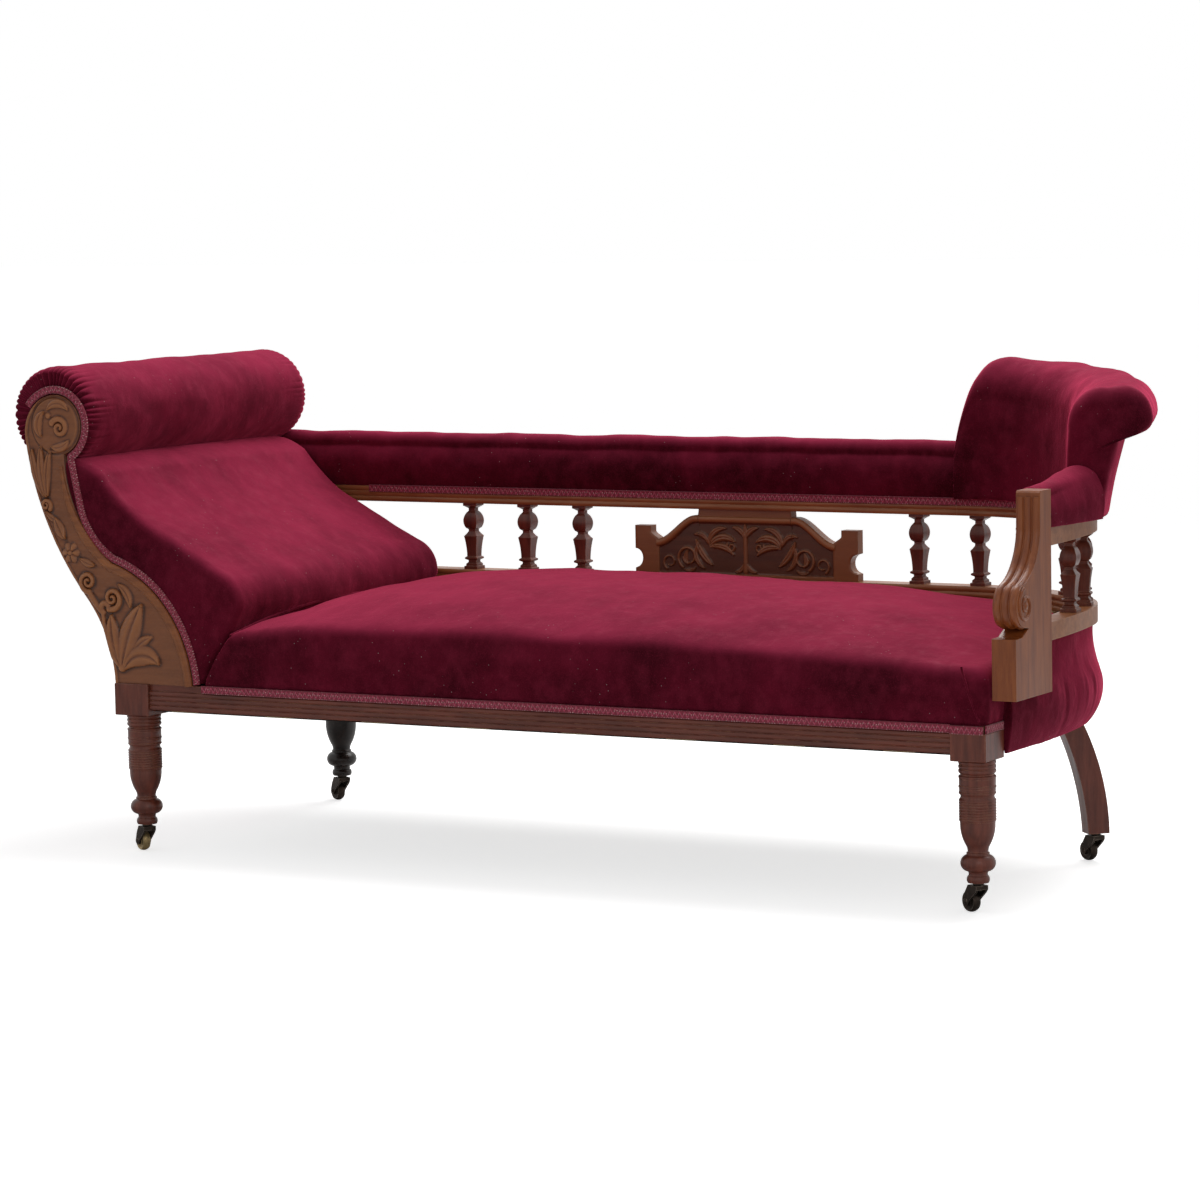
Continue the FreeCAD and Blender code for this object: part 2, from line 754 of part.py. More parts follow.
def build_seat_rails():
    front_rail()
    outer = BACK_MIDDLE + SEAT_RAIL_OUTER
    keep(eased_box("back_seat_rail", (LEFT_INNER, corner_centre().x),
                   (outer - size("rail_thickness"), outer), (RAIL_BASE, RAIL_TOP)))
    left = LEFT_LEG - size("left_block_outer") + size("rail_set_back")
    keep(eased_box("left_end_rail", (left, left + size("rail_thickness")),
                   (FRONT_LEG + size("block_back"), BACK_LEG - size("block_front")),
                   (RAIL_BASE, RAIL_TOP)))
    begin = float(FRONT_LEG + size("block_back")) - float(POST_BACK)
    inner = SEAT_RAIL_OUTER - float(size("rail_thickness"))
    keep(solid("right_end_rail",
               end_band(inner, SEAT_RAIL_OUTER, begin, end_length(), RAIL_BASE, RAIL_TOP)))


# Scroll head: the carved facing, the rear upright, their rails and the outside cover.

def head_point(reach, rise):
    """A point of the scroll head, from the left leg axis and the block's top."""
    return float(LEFT_LEG) + reach, float(BLOCK_TOP) + rise


def boss_centre():
    return head_point(-140.5, 417)


def outer_edge(shift=0.0):
    """The facing's outer edge, from its foot up to the head."""
    return [head_point(-35.5 + shift, 0), head_point(-48.5 + shift, 68) + ("arc",),
            head_point(-90.5 + shift, 141), head_point(-165.5 + shift, 266) + ("arc",),
            head_point(-200.5 + shift, 394)]


def inner_edge():
    """The facing's inner edge, from under the boss down to its foot."""
    return [head_point(-124.5, 370), head_point(-95.5, 261) + ("arc",),
            head_point(-35.5, 195), head_point(8, 176) + ("arc",), head_point(49.5, 145),
            head_point(97, 75) + ("arc",), head_point(115.5, 0)]


def facing_outline():
    """Outer edge, head, boss and inner edge."""
    boss_x, boss_z = boss_centre()
    radius = float(size("boss_radius"))
    head = [(boss_x - 44, boss_z + 30) + ("arc",), (boss_x, boss_z + radius),
            (boss_x + radius, boss_z) + ("arc",)]
    return outer_edge() + head + inner_edge()


def facing_face(grow=0.0):
    wire = flat_wire(facing_outline())
    if grow:
        wire = wire.makeOffset2D(grow)
    return Part.Face(wire)


def head_facing():
    body = board("head_facing", "XZ_Plane", outline(facing_outline()),
                 size("facing_thickness"))
    return place(body, 0.0, FACING_BACK)


def rear_upright():
    body = board("rear_head_upright", "XZ_Plane", outline(facing_outline()),
                 size("facing_thickness"))
    return place(body, 0.0, UPRIGHT_BACK)


def head_top_rail():
    """A round rail from the facing to the rear upright, inside the bolster."""
    boss_x, boss_z = boss_centre()
    length = UPRIGHT_FRONT - FACING_BACK
    rail = cylinder("head_top_rail", size("top_rail_radius"), length, 0.0, 0.0, 0.0)
    rail.Placement = Placement(Vector(boss_x, float(UPRIGHT_FRONT), boss_z),
                               Rotation(Vector(1, 0, 0), 90))
    return rail


def head_cross_rails():
    """Two rails that tie the facing to the rear upright behind the backrest."""
    rails = []
    for number, (reach, rise) in enumerate(((-64, 122), (-158, 272)), 1):
        rails.append(box("head_cross_rail_%d" % number,
                         (LEFT_LEG + reach, LEFT_LEG + (reach + 20)),
                         (FACING_BACK, UPRIGHT_FRONT),
                         (BLOCK_TOP + rise, BLOCK_TOP + (rise + 45))))
    return group("head_cross_rails", rails)


def cover_ribbon(first, last):
    """A closed outline between the outer edge shifted inwards by two amounts."""
    near = outer_edge(first)
    far = outer_edge(last)[::-1]
    return near + far


def outside_cover():
    """The cover on the outside of the head, from the seat rail up to the bolster."""
    face = Part.Face(flat_wire(cover_ribbon(1.5, 5.5)))
    sheet_board = solid("head_cover_blank", front_prism(face, FACING_BACK, UPRIGHT_FRONT))
    above = box("head_cover_trim", (LEFT_LEG - 300.0, LEFT_LEG),
                (FACING_BACK - 10.0, UPRIGHT_FRONT + 10.0),
                (BLOCK_TOP + 358.0, BLOCK_TOP + 500.0))
    return cut("head_outside_cover", sheet_board, above)


def build_head():
    keep(head_facing())
    keep(rear_upright())
    keep(head_top_rail())
    keep(head_cross_rails())
    keep(outside_cover())


# Bolster and backrest.

def bolster_centre():
    """The bolster hangs out and up from the boss, because its rail is low in its stuffing."""
    boss_x, boss_z = boss_centre()
    return boss_x - 10, boss_z + 16


def bolster_shape():
    """A stuffed roll with rounded ends, drawn in towards the boss at either end."""
    centre_x, centre_z = bolster_centre()
    radius = float(size("bolster_radius"))
    front = float(FACING_FRONT) + float(size("cover_set_back"))
    back = float(UPRIGHT_BACK) - float(size("cover_set_back"))
    profile = [(0, front + 12), (radius - 27, front + 1), (radius - 14, front),
               (radius - 3, front + 20, "arc"), (radius, front + 54), (radius, back - 54),
               (radius - 3, back - 20, "arc"), (radius - 14, back), (radius - 27, back - 1),
               (0, back - 12)]
    roll = Part.Face(flat_wire(profile)).revolve(Vector(0, 0, 0), Vector(0, 1, 0), 360)
    roll.translate(Vector(centre_x, 0, centre_z))
    return roll


def clearance(label, front, back):
    """The room that the facing or the rear upright needs inside a soft piece."""
    return solid(label, front_prism(facing_face(GAP), float(front) - GAP, float(back) + GAP))


WEB_LINE = [(-50, 180), (-112, 262), (-140, 340)]
BACKREST_FOOT = 131


def slope_points():
    """The front of the backrest, from under the bolster down to the seat."""
    return [head_point(-60, 351), head_point(-28, 303) + ("arc",), head_point(12, 271),
            head_point(60, 243), head_point(118, 212), head_point(167, 187),
            head_point(201, 158) + ("arc",), head_point(206, 128), head_point(196, 112)]


def under_bolster(degrees):
    """A point just clear of the bolster, at an angle below its axis."""
    centre_x, centre_z = bolster_centre()
    reach = float(size("bolster_radius")) + 2 * GAP
    turn = math.radians(degrees)
    return centre_x + reach * math.cos(turn), centre_z - reach * math.sin(turn)


def backrest_outline():
    """The slope, the seat line, the back on its webbing and the hollow for the bolster."""
    back = [head_point(100, 2.5), head_point(60, 2.5), head_point(35, 120)]
    back += [head_point(*point) for point in WEB_LINE]
    back += [under_bolster(86), under_bolster(62) + ("arc",), under_bolster(38)]
    return slope_points() + [head_point(BACKREST_FOOT, 2.5)] + back


def build_backrest():
    front = float(FACING_FRONT) + float(size("cover_set_back"))
    back = float(BACK_FACE) - 10
    face = Part.Face(flat_wire(backrest_outline()))
    block = solid("backrest_block", front_prism(face, front, back))
    keep(cut("backrest_pad", block,
             clearance("backrest_facing_room", FACING_FRONT, FACING_BACK)))
    roll = solid("bolster_roll", bolster_shape())
    boss_x, boss_z = boss_centre()
    reach = float(size("top_rail_radius")) + GAP
    rail_room = Part.makeCylinder(reach, float(UPRIGHT_BACK) - float(FACING_FRONT),
                                  Vector(boss_x, float(FACING_FRONT), boss_z),
                                  Vector(0, 1, 0))
    rooms = fuse("bolster_clearances",
                 [clearance("bolster_facing_room", FACING_FRONT - 20.0, FACING_BACK),
                  clearance("bolster_upright_room", UPRIGHT_FRONT, UPRIGHT_BACK + 20.0),
                  solid("bolster_rail_room", rail_room)])
    keep(cut("bolster_pad", roll, rooms))
    keep(backrest_webbing())


def backrest_webbing():
    """Straps across the back of the stuffing, from the facing to the rear upright."""
    straps = []
    for start, stop in zip(WEB_LINE[:-1], WEB_LINE[1:]):
        for share in (0.27, 0.73):
            straps.append(backrest_strap(start, stop, share, len(straps) + 1))
    return group("backrest_webbing", straps)


def backrest_strap(start, stop, share, number):
    """One strap, flat on the line from start to stop, centred at a share of it."""
    width = 34.0
    thick = 1.6
    first = Vector(*head_point(*start), 0)
    last = Vector(*head_point(*stop), 0)
    along = (last - first).normalize()
    outward = Vector(-along.y, along.x, 0)
    middle = first + (last - first) * share + outward * (GAP / 2)
    corners = [middle - along * width / 2, middle + along * width / 2,
               middle + along * width / 2 + outward * thick,
               middle - along * width / 2 + outward * thick]
    face = Part.Face(Part.makePolygon(corners + [corners[0]]))
    return solid("backrest_strap_%d" % number, front_prism(face, FACING_BACK, UPRIGHT_FRONT))


# Seat.

WEB = 1.5
WEB_WIDTH = 50.0
FIRST_STRAP = 40
LAST_STRAP = 110
WELL_LEFT = 162
FIRST_SPRING = 195
LAST_SPRING = 107


def seat_webbing():
    """Straps under the rails: eight across the depth, then four along the length."""
    top = float(RAIL_BASE)
    straps = []
    left = float(LEFT_INNER) + FIRST_STRAP
    span = float(RIGHT_INNER) - LAST_STRAP - left
    for number in range(8):
        x = left + span * number / 7
        back = plan_back(x + WEB_WIDTH, SEAT_RAIL_OUTER - 4)
        straps.append(box("seat_strap_across_%d" % (number + 1), (x, x + WEB_WIDTH),
                          (RAIL_FRONT + 5.0, back), (top - WEB, top)))
    for number, y in enumerate(spring_rows(), 1):
        right = min(plan_right(y - WEB_WIDTH / 2, SEAT_RAIL_OUTER - 4),
                    plan_right(y + WEB_WIDTH / 2, SEAT_RAIL_OUTER - 4))
        straps.append(box("seat_strap_along_%d" % number, (LEFT_LEG - 26.0, right),
                          (y - WEB_WIDTH / 2, y + WEB_WIDTH / 2),
                          (top - 2 * WEB, top - WEB)))
    return group("seat_webbing", straps)


def spring_rows():
    """The depths of the four rows of springs."""
    front = float(RAIL_BACK)
    back = float(BACK_MIDDLE) + SEAT_RAIL_OUTER - float(size("rail_thickness"))
    return [front + (back - front) * share for share in (0.17, 0.398, 0.626, 0.854)]


def spring_shape():
    """Turns of wire, drawn in at the waist, on arcs of a quarter turn."""
    wire = 1.9
    height = float(size("spring_height")) - 2 * wire
    turns = 3.5
    count = int(turns * 8)

    def at(step):
        share = step / count
        angle = 2 * math.pi * turns * share
        radius = float(size("spring_radius")) * (1 - 0.22 * math.sin(math.pi * share))
        return Vector(radius * math.cos(angle), radius * math.sin(angle),
                      wire + height * share)

    arcs = [Part.Arc(at(n), at(n + 1), at(n + 2)).toShape() for n in range(0, count, 2)]
    path = Part.Wire(arcs)
    start = arcs[0].tangentAt(arcs[0].FirstParameter)
    ring = Part.Wire(Part.makeCircle(wire, at(0), start))
    return path.makePipeShell([ring], True, False)


def seat_springs():
    """Rows of springs on the straps, one fewer in the back row, where the corner is round."""
    left = head_point(FIRST_SPRING, 0)[0]
    pitch = (float(RIGHT_INNER) - LAST_SPRING - left) / 5
    shape = spring_shape()
    springs = []
    for row, y in enumerate(spring_rows()):
        for column in range(5 if row == 3 else 6):
            name = "seat_spring_%d" % (len(springs) + 1)
            springs.append(solid(name, shape, (left + pitch * column, y, RAIL_BASE + 0.3)))
    return group("seat_springs", springs)


def seat_section(x, back, rise, crown):
    """Section of the seat at an X: front, rolled edge, dome and back."""
    front = float(RAIL_FRONT)
    base = float(RAIL_TOP) + GAP
    step = float(size("rail_set_back"))
    top = float(BLOCK_TOP) + rise
    roll = 26.0
    middle = (front + back) / 2
    points = [(front + step, base), (front + step, base + 4), (front + 0.5, base + 6),
              (front - 3, (base + top) / 2, "arc"), (front + 2, top - roll),
              (front + 9, top - 0.3 * roll, "arc"), (front + roll, top),
              (middle, top + crown, "arc"), (back - 18, top + 6), (back - 5, top, "arc"),
              (back, top - 14), (back, base)]
    wire = flat_wire(points)
    wire.rotate(Vector(0, 0, 0), Vector(1, 0, 0), 90)
    wire.rotate(Vector(0, 0, 0), Vector(0, 0, 1), 90)
    wire.translate(Vector(x, 0, 0))
    return wire


SEAT_INSET = -30.0


def seat_profile(x):
    """Edge height and crown of the seat at an X, highest a little right of the middle."""
    left = float(LEFT_INNER)
    right = plan_right(float(POST_BACK), SEAT_INSET)
    share = (x - left) / (right - left)
    edge = float(size("seat_edge")) - 14 + 20 * math.sin(math.pi * share ** 0.8)
    crown = float(size("seat_crown")) * (1 - abs(2 * share - 1.05) ** 3.2)
    return edge, max(crown, 0.3 * float(size("seat_crown")))


def seat_dome():
    left = float(LEFT_INNER) + 20
    right = plan_right(float(POST_BACK), SEAT_INSET)
    turn = corner_centre().x
    places = stations(left, turn, 120.0)[:-1] + stations(turn, right - 70, 50.0)
    places += [right - 45, right - 25, right - 12]
    sections = []
    for x in places:
        rise, crown = seat_profile(x)
        back = max(plan_back(x, SEAT_INSET), float(POST_BACK) + 60)
        sections.append(seat_section(x, back, rise, crown))
    return Part.makeLoft(sections, True, True)


def seat_corner():
    """The side of the seat that fills out to the arm post."""
    inner = plan_right(float(POST_BACK), SEAT_INSET) - 20
    right = float(SIDE_X) + SEAT_RAIL_OUTER - GAP
    front = float(RAIL_FRONT)
    back = float(POST_BACK) - 6
    rise = seat_profile(inner)[0]
    base = float(RAIL_TOP) + GAP
    plan = [(inner, front + 2), (right - 14, front + 2), (right - 4, front + 6, "arc"),
            (right, front + 20), (right, back), (inner, back)]
    shape = prism(plan, float(BLOCK_TOP) + rise - 22 - base)
    shape.translate(Vector(0, 0, base))
    edges = [edge for edge in shape.Edges
             if edge.BoundBox.ZMin > base + 1 and edge.CenterOfMass.x > inner + 1]
    return shape.makeFillet(8.0, edges)


def build_seat():
    keep(seat_webbing())
    keep(seat_springs())
    low = float(RAIL_BASE + size("spring_height")) + 0.6
    high = low + 2.0
    left = head_point(WELL_LEFT, 0)[0]
    front = float(FRONT_LEG + size("block_back")) + 4
    inset = SEAT_RAIL_OUTER - float(size("rail_thickness")) - 8
    keep(solid("spring_canvas", well_shape(left, front, inset, low, high)))
    dome = fuse("seat_block", [solid("seat_dome", seat_dome()),
                               solid("seat_corner", seat_corner())])
    hollow = solid("seat_hollow", well_shape(left - 2, front - 2, inset + 2,
                                             float(RAIL_FACE_TOP), high + GAP))
    shaped = cut("seat_hollowed", dome, hollow)
    wedge = [head_point(-120, -40), head_point(107, -40), head_point(132, 2),
             head_point(198, 113), head_point(209, 128), head_point(230, 220),
             head_point(-120, 220)]
    face = Part.Face(flat_wire(wedge))
    slope_room = solid("seat_slope_room", front_prism(face, float(FACING_FRONT) - 20,
                                                      float(BACK_OUTER) + 20))
    keep(cut("seat_pad", shaped, slope_room))
    keep(dust_cloth())


def dust_cloth():
    """A thin cloth tacked under the rails, over the webbing."""
    top = float(RAIL_BASE) - 2 * WEB - 0.3
    front = float(RAIL_FRONT) + 6
    left = float(LEFT_LEG) - 30
    cloth = solid("dust_cloth_blank",
                  well_shape(left, front, SEAT_RAIL_OUTER - 4, top - 1.5, top))
    reach = 3.0
    rooms = [box("dust_cloth_room_%d" % number, limits[0], limits[1], (LEG_TOP - 9.0, RAIL_TOP))
             for number, limits in enumerate(block_plans(reach), 1)]
    side = float(size("sabre_width")) + 2 * reach
    foot_x, foot_y = sabre_foot()
    room = Part.makeBox(side + 12, side, 30,
                        Vector(-side / 2 - float(size("sabre_sweep")) - 2, -side / 2, top - 20))
    rooms.append(solid("dust_cloth_leg_room", room,
                       (foot_x, foot_y, 0.0, size("sabre_turn"))))
    return cut("dust_cloth", cloth, fuse("dust_cloth_rooms", rooms))


def block_plans(reach):
    """X and Y limits of the three blocks, with room round each."""
    left = (LEFT_LEG - (size("left_block_outer") + reach), LEFT_INNER + reach)
    right = (RIGHT_INNER - reach, RIGHT_LEG + (size("right_block_outer") + reach))
    front = (FRONT_LEG - (size("block_front") + reach), FRONT_LEG + (size("block_back") + reach))
    back = (BACK_LEG - (size("block_front") + reach), BACK_LEG + (size("block_back") + reach))
    return [(left, front), (left, back), (right, front)]


# Open back.

def back_rail(label, base, top, left):
    """A straight rail, reeded on the face that looks at the seat."""
    right = corner_centre().x
    profile = [(BACK_OUTER, base)] + reeds(BACK_FACE, base, top, 3, 1.8) + [(BACK_OUTER, top)]
    body = board(label, "YZ_Plane", outline(profile), right - left)
    return keep(place(body, left))


def inner_edge_x(height):
    """X of the rear upright's inner edge at a height."""
    slab = flat_wire(facing_outline())
    probe = Part.makeLine(Vector(-2000, height, 0), Vector(2000, height, 0))
    _, pairs, _ = slab.distToShape(probe)
    return max(pair[0].x for pair in pairs)


def end_rail(label, base, top):
    """A bowed rail, reeded inside, from the arm post round the corner."""
    half = float(size("back_rail_width")) / 2
    height = float(top) - float(base)
    section = [(half, float(base))]
    section += reeds(-half, base, top, 3, 1.8)
    section += [(half, float(top))]
    wire = end_section(0.0, section)
    path = Part.Wire(end_arcs(0.0, 0.0, end_length()))
    return keep(solid(label, path.makePipeShell([wire], True, False)))


def baluster_side():
    """Half outline of a baluster over its height, right side then mirrored left."""
    half = float(size("baluster_half"))
    tall = float(size("back_gap"))
    right = [(half, 0), (half, 5), (half - 2.5, 6), (half - 2.5, 9), (half - 5.5, 12),
             (half - 5.5, 15), (half - 1, 17.5), (half - 1, 20), (half - 4, 22),
             (half - 2, tall * 0.42, "arc"), (half - 0.5, tall * 0.5), (half - 3.5, tall * 0.53),
             (half - 6.5, tall * 0.57), (half - 6.5, tall * 0.6), (half - 3, tall * 0.625),
             (half, tall * 0.73, "arc"), (half - 4, tall * 0.85), (half - 7, tall * 0.88),
             (half - 7, tall * 0.92), (half - 2, tall * 0.95), (half, tall * 0.96),
             (half, tall)]
    left = [(-p[0], p[1]) + p[2:] for p in right[::-1]]
    return right + left


def baluster(label, x, y, turn=0.0):
    """A square baluster: the same outline sawn on two faces at right angles."""
    half = float(size("baluster_half")) + 2
    face = board(label + "_front", "XZ_Plane", outline(baluster_side()), 2 * half, True)
    side = board(label + "_side", "YZ_Plane", outline(baluster_side()), 2 * half, True)
    piece = common(label, face, side)
    return place(piece, x, y, LOWER_TOP, turn)


def build_balusters():
    first = size("panel_half") + 105.9
    pitch = 107.6
    for side, sign, count in (("left", -1, 3), ("right", 1, 2)):
        row = [baluster("%s_baluster_%d" % (side, number + 1),
                        PANEL_X + (first + pitch * number) * sign, BACK_MIDDLE)
               for number in range(count)]
        keep(group("back_balusters_%s" % side, row))
    for number, run in enumerate((183.0, 278.0, 360.0, 443.0, 551.0), 1):
        point = end_point(run)
        keep(baluster("end_baluster_%d" % number, point.x, point.y,
                      math.degrees(end_angle(run))))


def panel_outline():
    """The carved panel: an arched top, notched ears and a neck up to the rail."""
    centre = float(PANEL_X)
    half = float(size("panel_half"))
    base = float(LOWER_TOP)
    top = float(UPPER_BASE)
    ear = base + 72
    right = [(half - 17, base), (half - 17, base + 18), (half - 8, base + 24, "arc"),
             (half - 17, base + 32), (half - 17, base + 36), (half, base + 38),
             (half, base + 50), (half - 9, base + 56, "arc"), (half, base + 63),
             (half, ear + 12), (half - 30, ear + 12), (half - 30, ear + 4),
             (half - 66, ear + 13, "arc"), (half - 108, top - 11), (half - 110, top - 11),
             (half - 118, top - 4, "arc"), (half - 122, top)]
    points = [(centre + p[0], p[1]) + p[2:] for p in right]
    points += [(centre - p[0], p[1]) + p[2:] for p in right[::-1]]
    return points


def back_panel():
    middle = BACK_MIDDLE + size("panel_thickness") / 2
    body = board("back_panel", "XZ_Plane", outline(panel_outline()), size("panel_thickness"))
    return keep(place(body, 0.0, middle))


def rail_posts():
    """Posts between the seat rails and the lower back rail, inside the cover."""
    inner = SEAT_INSET + 1
    outer = SEAT_RAIL_OUTER - 1
    posts = []
    for number, reach in enumerate((-640.0, -280.0, 190.0), 1):
        x = PANEL_X + reach
        posts.append(box("rail_post_%d" % number, (x - 22.0, x + 22.0),
                         (BACK_MIDDLE + inner, BACK_MIDDLE + outer), (RAIL_TOP, LOWER_BASE)))
    for run in (250.0, 470.0):
        number = len(posts) + 1
        posts.append(solid("rail_post_%d" % number,
                           end_band(inner, outer, run - 20, run + 20, RAIL_TOP, LOWER_BASE)))
    return keep(group("rail_posts", posts))


def build_back():
    back_rail("back_lower_rail", LOWER_BASE, LOWER_TOP, inner_edge_x(float(LOWER_BASE)))
    back_rail("back_upper_rail", UPPER_BASE, UPPER_TOP, inner_edge_x(float(UPPER_BASE)))
    end_rail("end_lower_rail", LOWER_BASE, LOWER_TOP)
    end_rail("end_upper_rail", UPPER_BASE, UPPER_TOP)
    build_balusters()
    back_panel()
    rail_posts()


# Padded back roll, arm post, arm pad, wing and skirt.

def back_roll():
    """A padded roll along the upper back rail, over an inner rail."""
    base = float(UPPER_TOP)
    tall = float(size("back_roll"))
    front = float(BACK_FACE)
    back = float(BACK_OUTER)
    profile = [(back - 1, base + GAP), (back + 3, base + tall * 0.45, "arc"),
               (back - 4, base + tall - 16), (front + 20, base + tall + 1, "arc"),
               (front - 1, base + tall - 22), (front - 9, base + tall * 0.4, "arc"),
               (front + 1, base + GAP)]
    left = inner_edge_x(base)
    right = corner_centre().x - 2
    roll = board("back_roll_blank", "YZ_Plane", outline(profile), right - left)
    place(roll, left)
    core_y = (BACK_FACE + 10.0, BACK_OUTER - 10.0)
    core_z = (UPPER_TOP, UPPER_TOP + 52.0)
    core_x = (left, right - 8.0)
    keep(box("back_inner_rail", core_x, core_y, core_z))
    room = box("back_roll_room", (core_x[0] - GAP, core_x[1] + GAP),
               (core_y[0] - GAP, core_y[1] + GAP), (core_z[0] - 5.0, core_z[1] + GAP))
    rooms = fuse("back_roll_rooms",
                 [room, clearance("back_roll_upright_room", UPRIGHT_FRONT, UPRIGHT_BACK)])
    keep(cut("back_pad", roll, rooms))


def post_profile():
    """Side of the arm post: a square foot with a ledge, a scroll, and a neck to the top."""
    front = float(POST_FRONT)
    back = float(POST_BACK)
    foot = float(BLOCK_TOP) + float(size("post_foot"))
    top = float(BLOCK_TOP) + float(size("post_top"))
    ledge = foot + 90
    scroll_y = front + 36
    scroll_z = ledge + 46
    radius = 32.0
    neck = back - 40
    return [(front, foot), (back, foot), (back, top), (neck + 3, top), (neck, top - 3),
            (neck - 1, top - 60), (neck - 16, top - 98, "arc"), (scroll_y - 14, scroll_z + 29),
            (scroll_y - radius, scroll_z, "arc"), (scroll_y, scroll_z - radius),
            (scroll_y + 12, ledge + 12), (front + 24, ledge + 1), (front, ledge)]


TONGUE = 5.0


def tongue_boxes(reach=0.0):
    """The post's tongue, which runs down behind the cover and is fixed to the end rail."""
    rail_face = SIDE_X + SEAT_RAIL_OUTER
    y = (FRONT_LEG + (size("block_back") + (2.0 - reach)), POST_BACK - (6.0 - reach))
    name = "arm_post_tongue_room" if reach else "arm_post_tongue"
    low = box(name + "_low", (rail_face, POST_INNER + (TONGUE + reach)), y,
              (RAIL_FACE_TOP - (14.0 + reach), RAIL_TOP))
    high = box(name + "_high", (POST_INNER, POST_INNER + (TONGUE + reach)), y,
               (RAIL_TOP, BLOCK_TOP + (size("post_foot") + 4.0)))
    return [low, high]


def arm_post():
    """A scrolled post with a tongue below its foot."""
    body = board("arm_post_scroll", "YZ_Plane", outline(post_profile()),
                 size("post_thickness"))
    place(body, POST_INNER)
    return keep(fuse("arm_post", [body] + tongue_boxes()))


def wing_run():
    """Run along the end's middle line at which the wing's end face stands."""
    return float(size("wing_end")) - float(size("post_back"))


def arm_section(run):
    """Section of the arm pad, which grows from the post towards the wing."""
    share = run / wing_run()
    base = float(UPPER_TOP) + GAP
    top = float(BLOCK_TOP) + float(size("post_top")) - 4 + 28 * share
    outer = 18 + 36 * share
    return [(outer - 1, base), (outer + 1, (base + top) / 2 - 6, "arc"), (outer - 9, top - 16),
            (2 + outer / 4, top, "arc"), (-18, top - 18), (-22, (base + top) / 2, "arc"),
            (-18, base)]


def arm_pad():
    """A pad from the post to the wing, on the bowed upper rail."""
    keep(solid("arm_pad", end_loft(arm_section, stations(1.0, wing_run() - 1, 45.0))))


WING_EDGE = 87.0


def wing_section(run):
    """Section of the wing: an upright back that rolls over outwards at the top."""
    full = end_length()
    share = min(1.0, max(0.0, (run - wing_run()) / (full - wing_run() - WING_EDGE)))
    start = max(0.0, (run - (full - WING_EDGE)) / WING_EDGE)
    rise = float(size("wing_rise")) - float(size("wing_fall")) * (1 - share)
    rise *= 1 - 0.615 * start ** 3.3
    slim = 1 - 0.6 * start ** 2
    base = float(UPPER_TOP) + GAP
    top = float(UPPER_TOP) + rise
    inner = -5 - 26 * share
    out = inner + (float(size("wing_roll")) + 5 - 40 * share) * slim
    neck = inner + (71 - 14 * share) * slim
    return [(neck - 18, base), (inner - 2, base), (inner - 4, base + rise * 0.3, "arc"),
            (inner, top - 65 * slim), (inner + 14 * slim, top - 20 * slim, "arc"),
            (inner + (out - inner) * 0.5, top), (out - 9 * slim, top - 17 * slim, "arc"),
            (out, top - 42 * slim), (out - 6 * slim, top - 63 * slim, "arc"),
            (out - 22 * slim, top - 70 * slim), (neck + 12 * slim, top - 74 * slim),
            (neck - 1, base + rise * 0.4, "arc")]


def wing_core(label, grow, base, top):
    """The sawn board inside the wing, or the room for it."""
    return solid(label, end_band(2.0 - grow, 20.0 + grow, wing_run() + 22 - grow,
                                 end_length() - 60 + grow, base, top))


def build_wing():
    full = end_length()
    runs = stations(wing_run(), full - WING_EDGE, 45.0)
    runs += [full - share * WING_EDGE for share in (0.8, 0.6, 0.4, 0.25, 0.12, 0.0)]
    pad = solid("wing_blank", end_loft(wing_section, runs))
    high = float(UPPER_TOP) + 96
    keep(wing_core("wing_core", 0.0, UPPER_TOP, high))
    room = wing_core("wing_core_room", GAP, UPPER_TOP - 5.0, high + GAP)
    keep(cut("wing_pad", pad, room))


def skirt_section(run):
    """Section of the cover below the lower rail: full at the hip, drawn in at the top."""
    share = min(1.0, max(0.0, (run + 84) / 250))
    inner = SEAT_RAIL_OUTER + GAP
    base = float(LEG_TOP) + 5
    top = float(LOWER_BASE) - GAP
    low = inner + 5 + 5 * share
    hip = inner + 12 + 19 * share
    waist = inner + 6 + 13 * share
    return [(inner, base), (low, base), (hip, base + 34, "arc"), (hip - 4 * share, base + 92),
            (waist, base + 128, "arc"), (waist, top), (inner, top)]


def build_skirt():
    """The cover round the right end and along the back, from the block to the head."""
    begin = float(FRONT_LEG + size("block_back")) - float(POST_BACK) + 1
    full = end_length()
    straight = corner_centre().x - float(LEFT_INNER) - GAP
    runs = stations(begin, full, 30.0) + [full + straight]
    band = solid("skirt_blank", end_loft(skirt_section, runs))
    foot_room = box("skirt_post_room", (POST_INNER - GAP, POST_INNER + 80.0),
                    (POST_FRONT - 20.0, POST_BACK + GAP),
                    (BLOCK_TOP + (size("post_foot") - GAP), BLOCK_TOP + 400.0))
    rooms = fuse("skirt_rooms",
                 [foot_room, clearance("skirt_upright_room", UPRIGHT_FRONT, UPRIGHT_BACK)]
                 + tongue_boxes(GAP))
    keep(cut("skirt_pad", band, rooms))


# Gimp braid.

BRAID = 13.0
BRAID_DEEP = 2.2
BACK_BRAID = 7.5


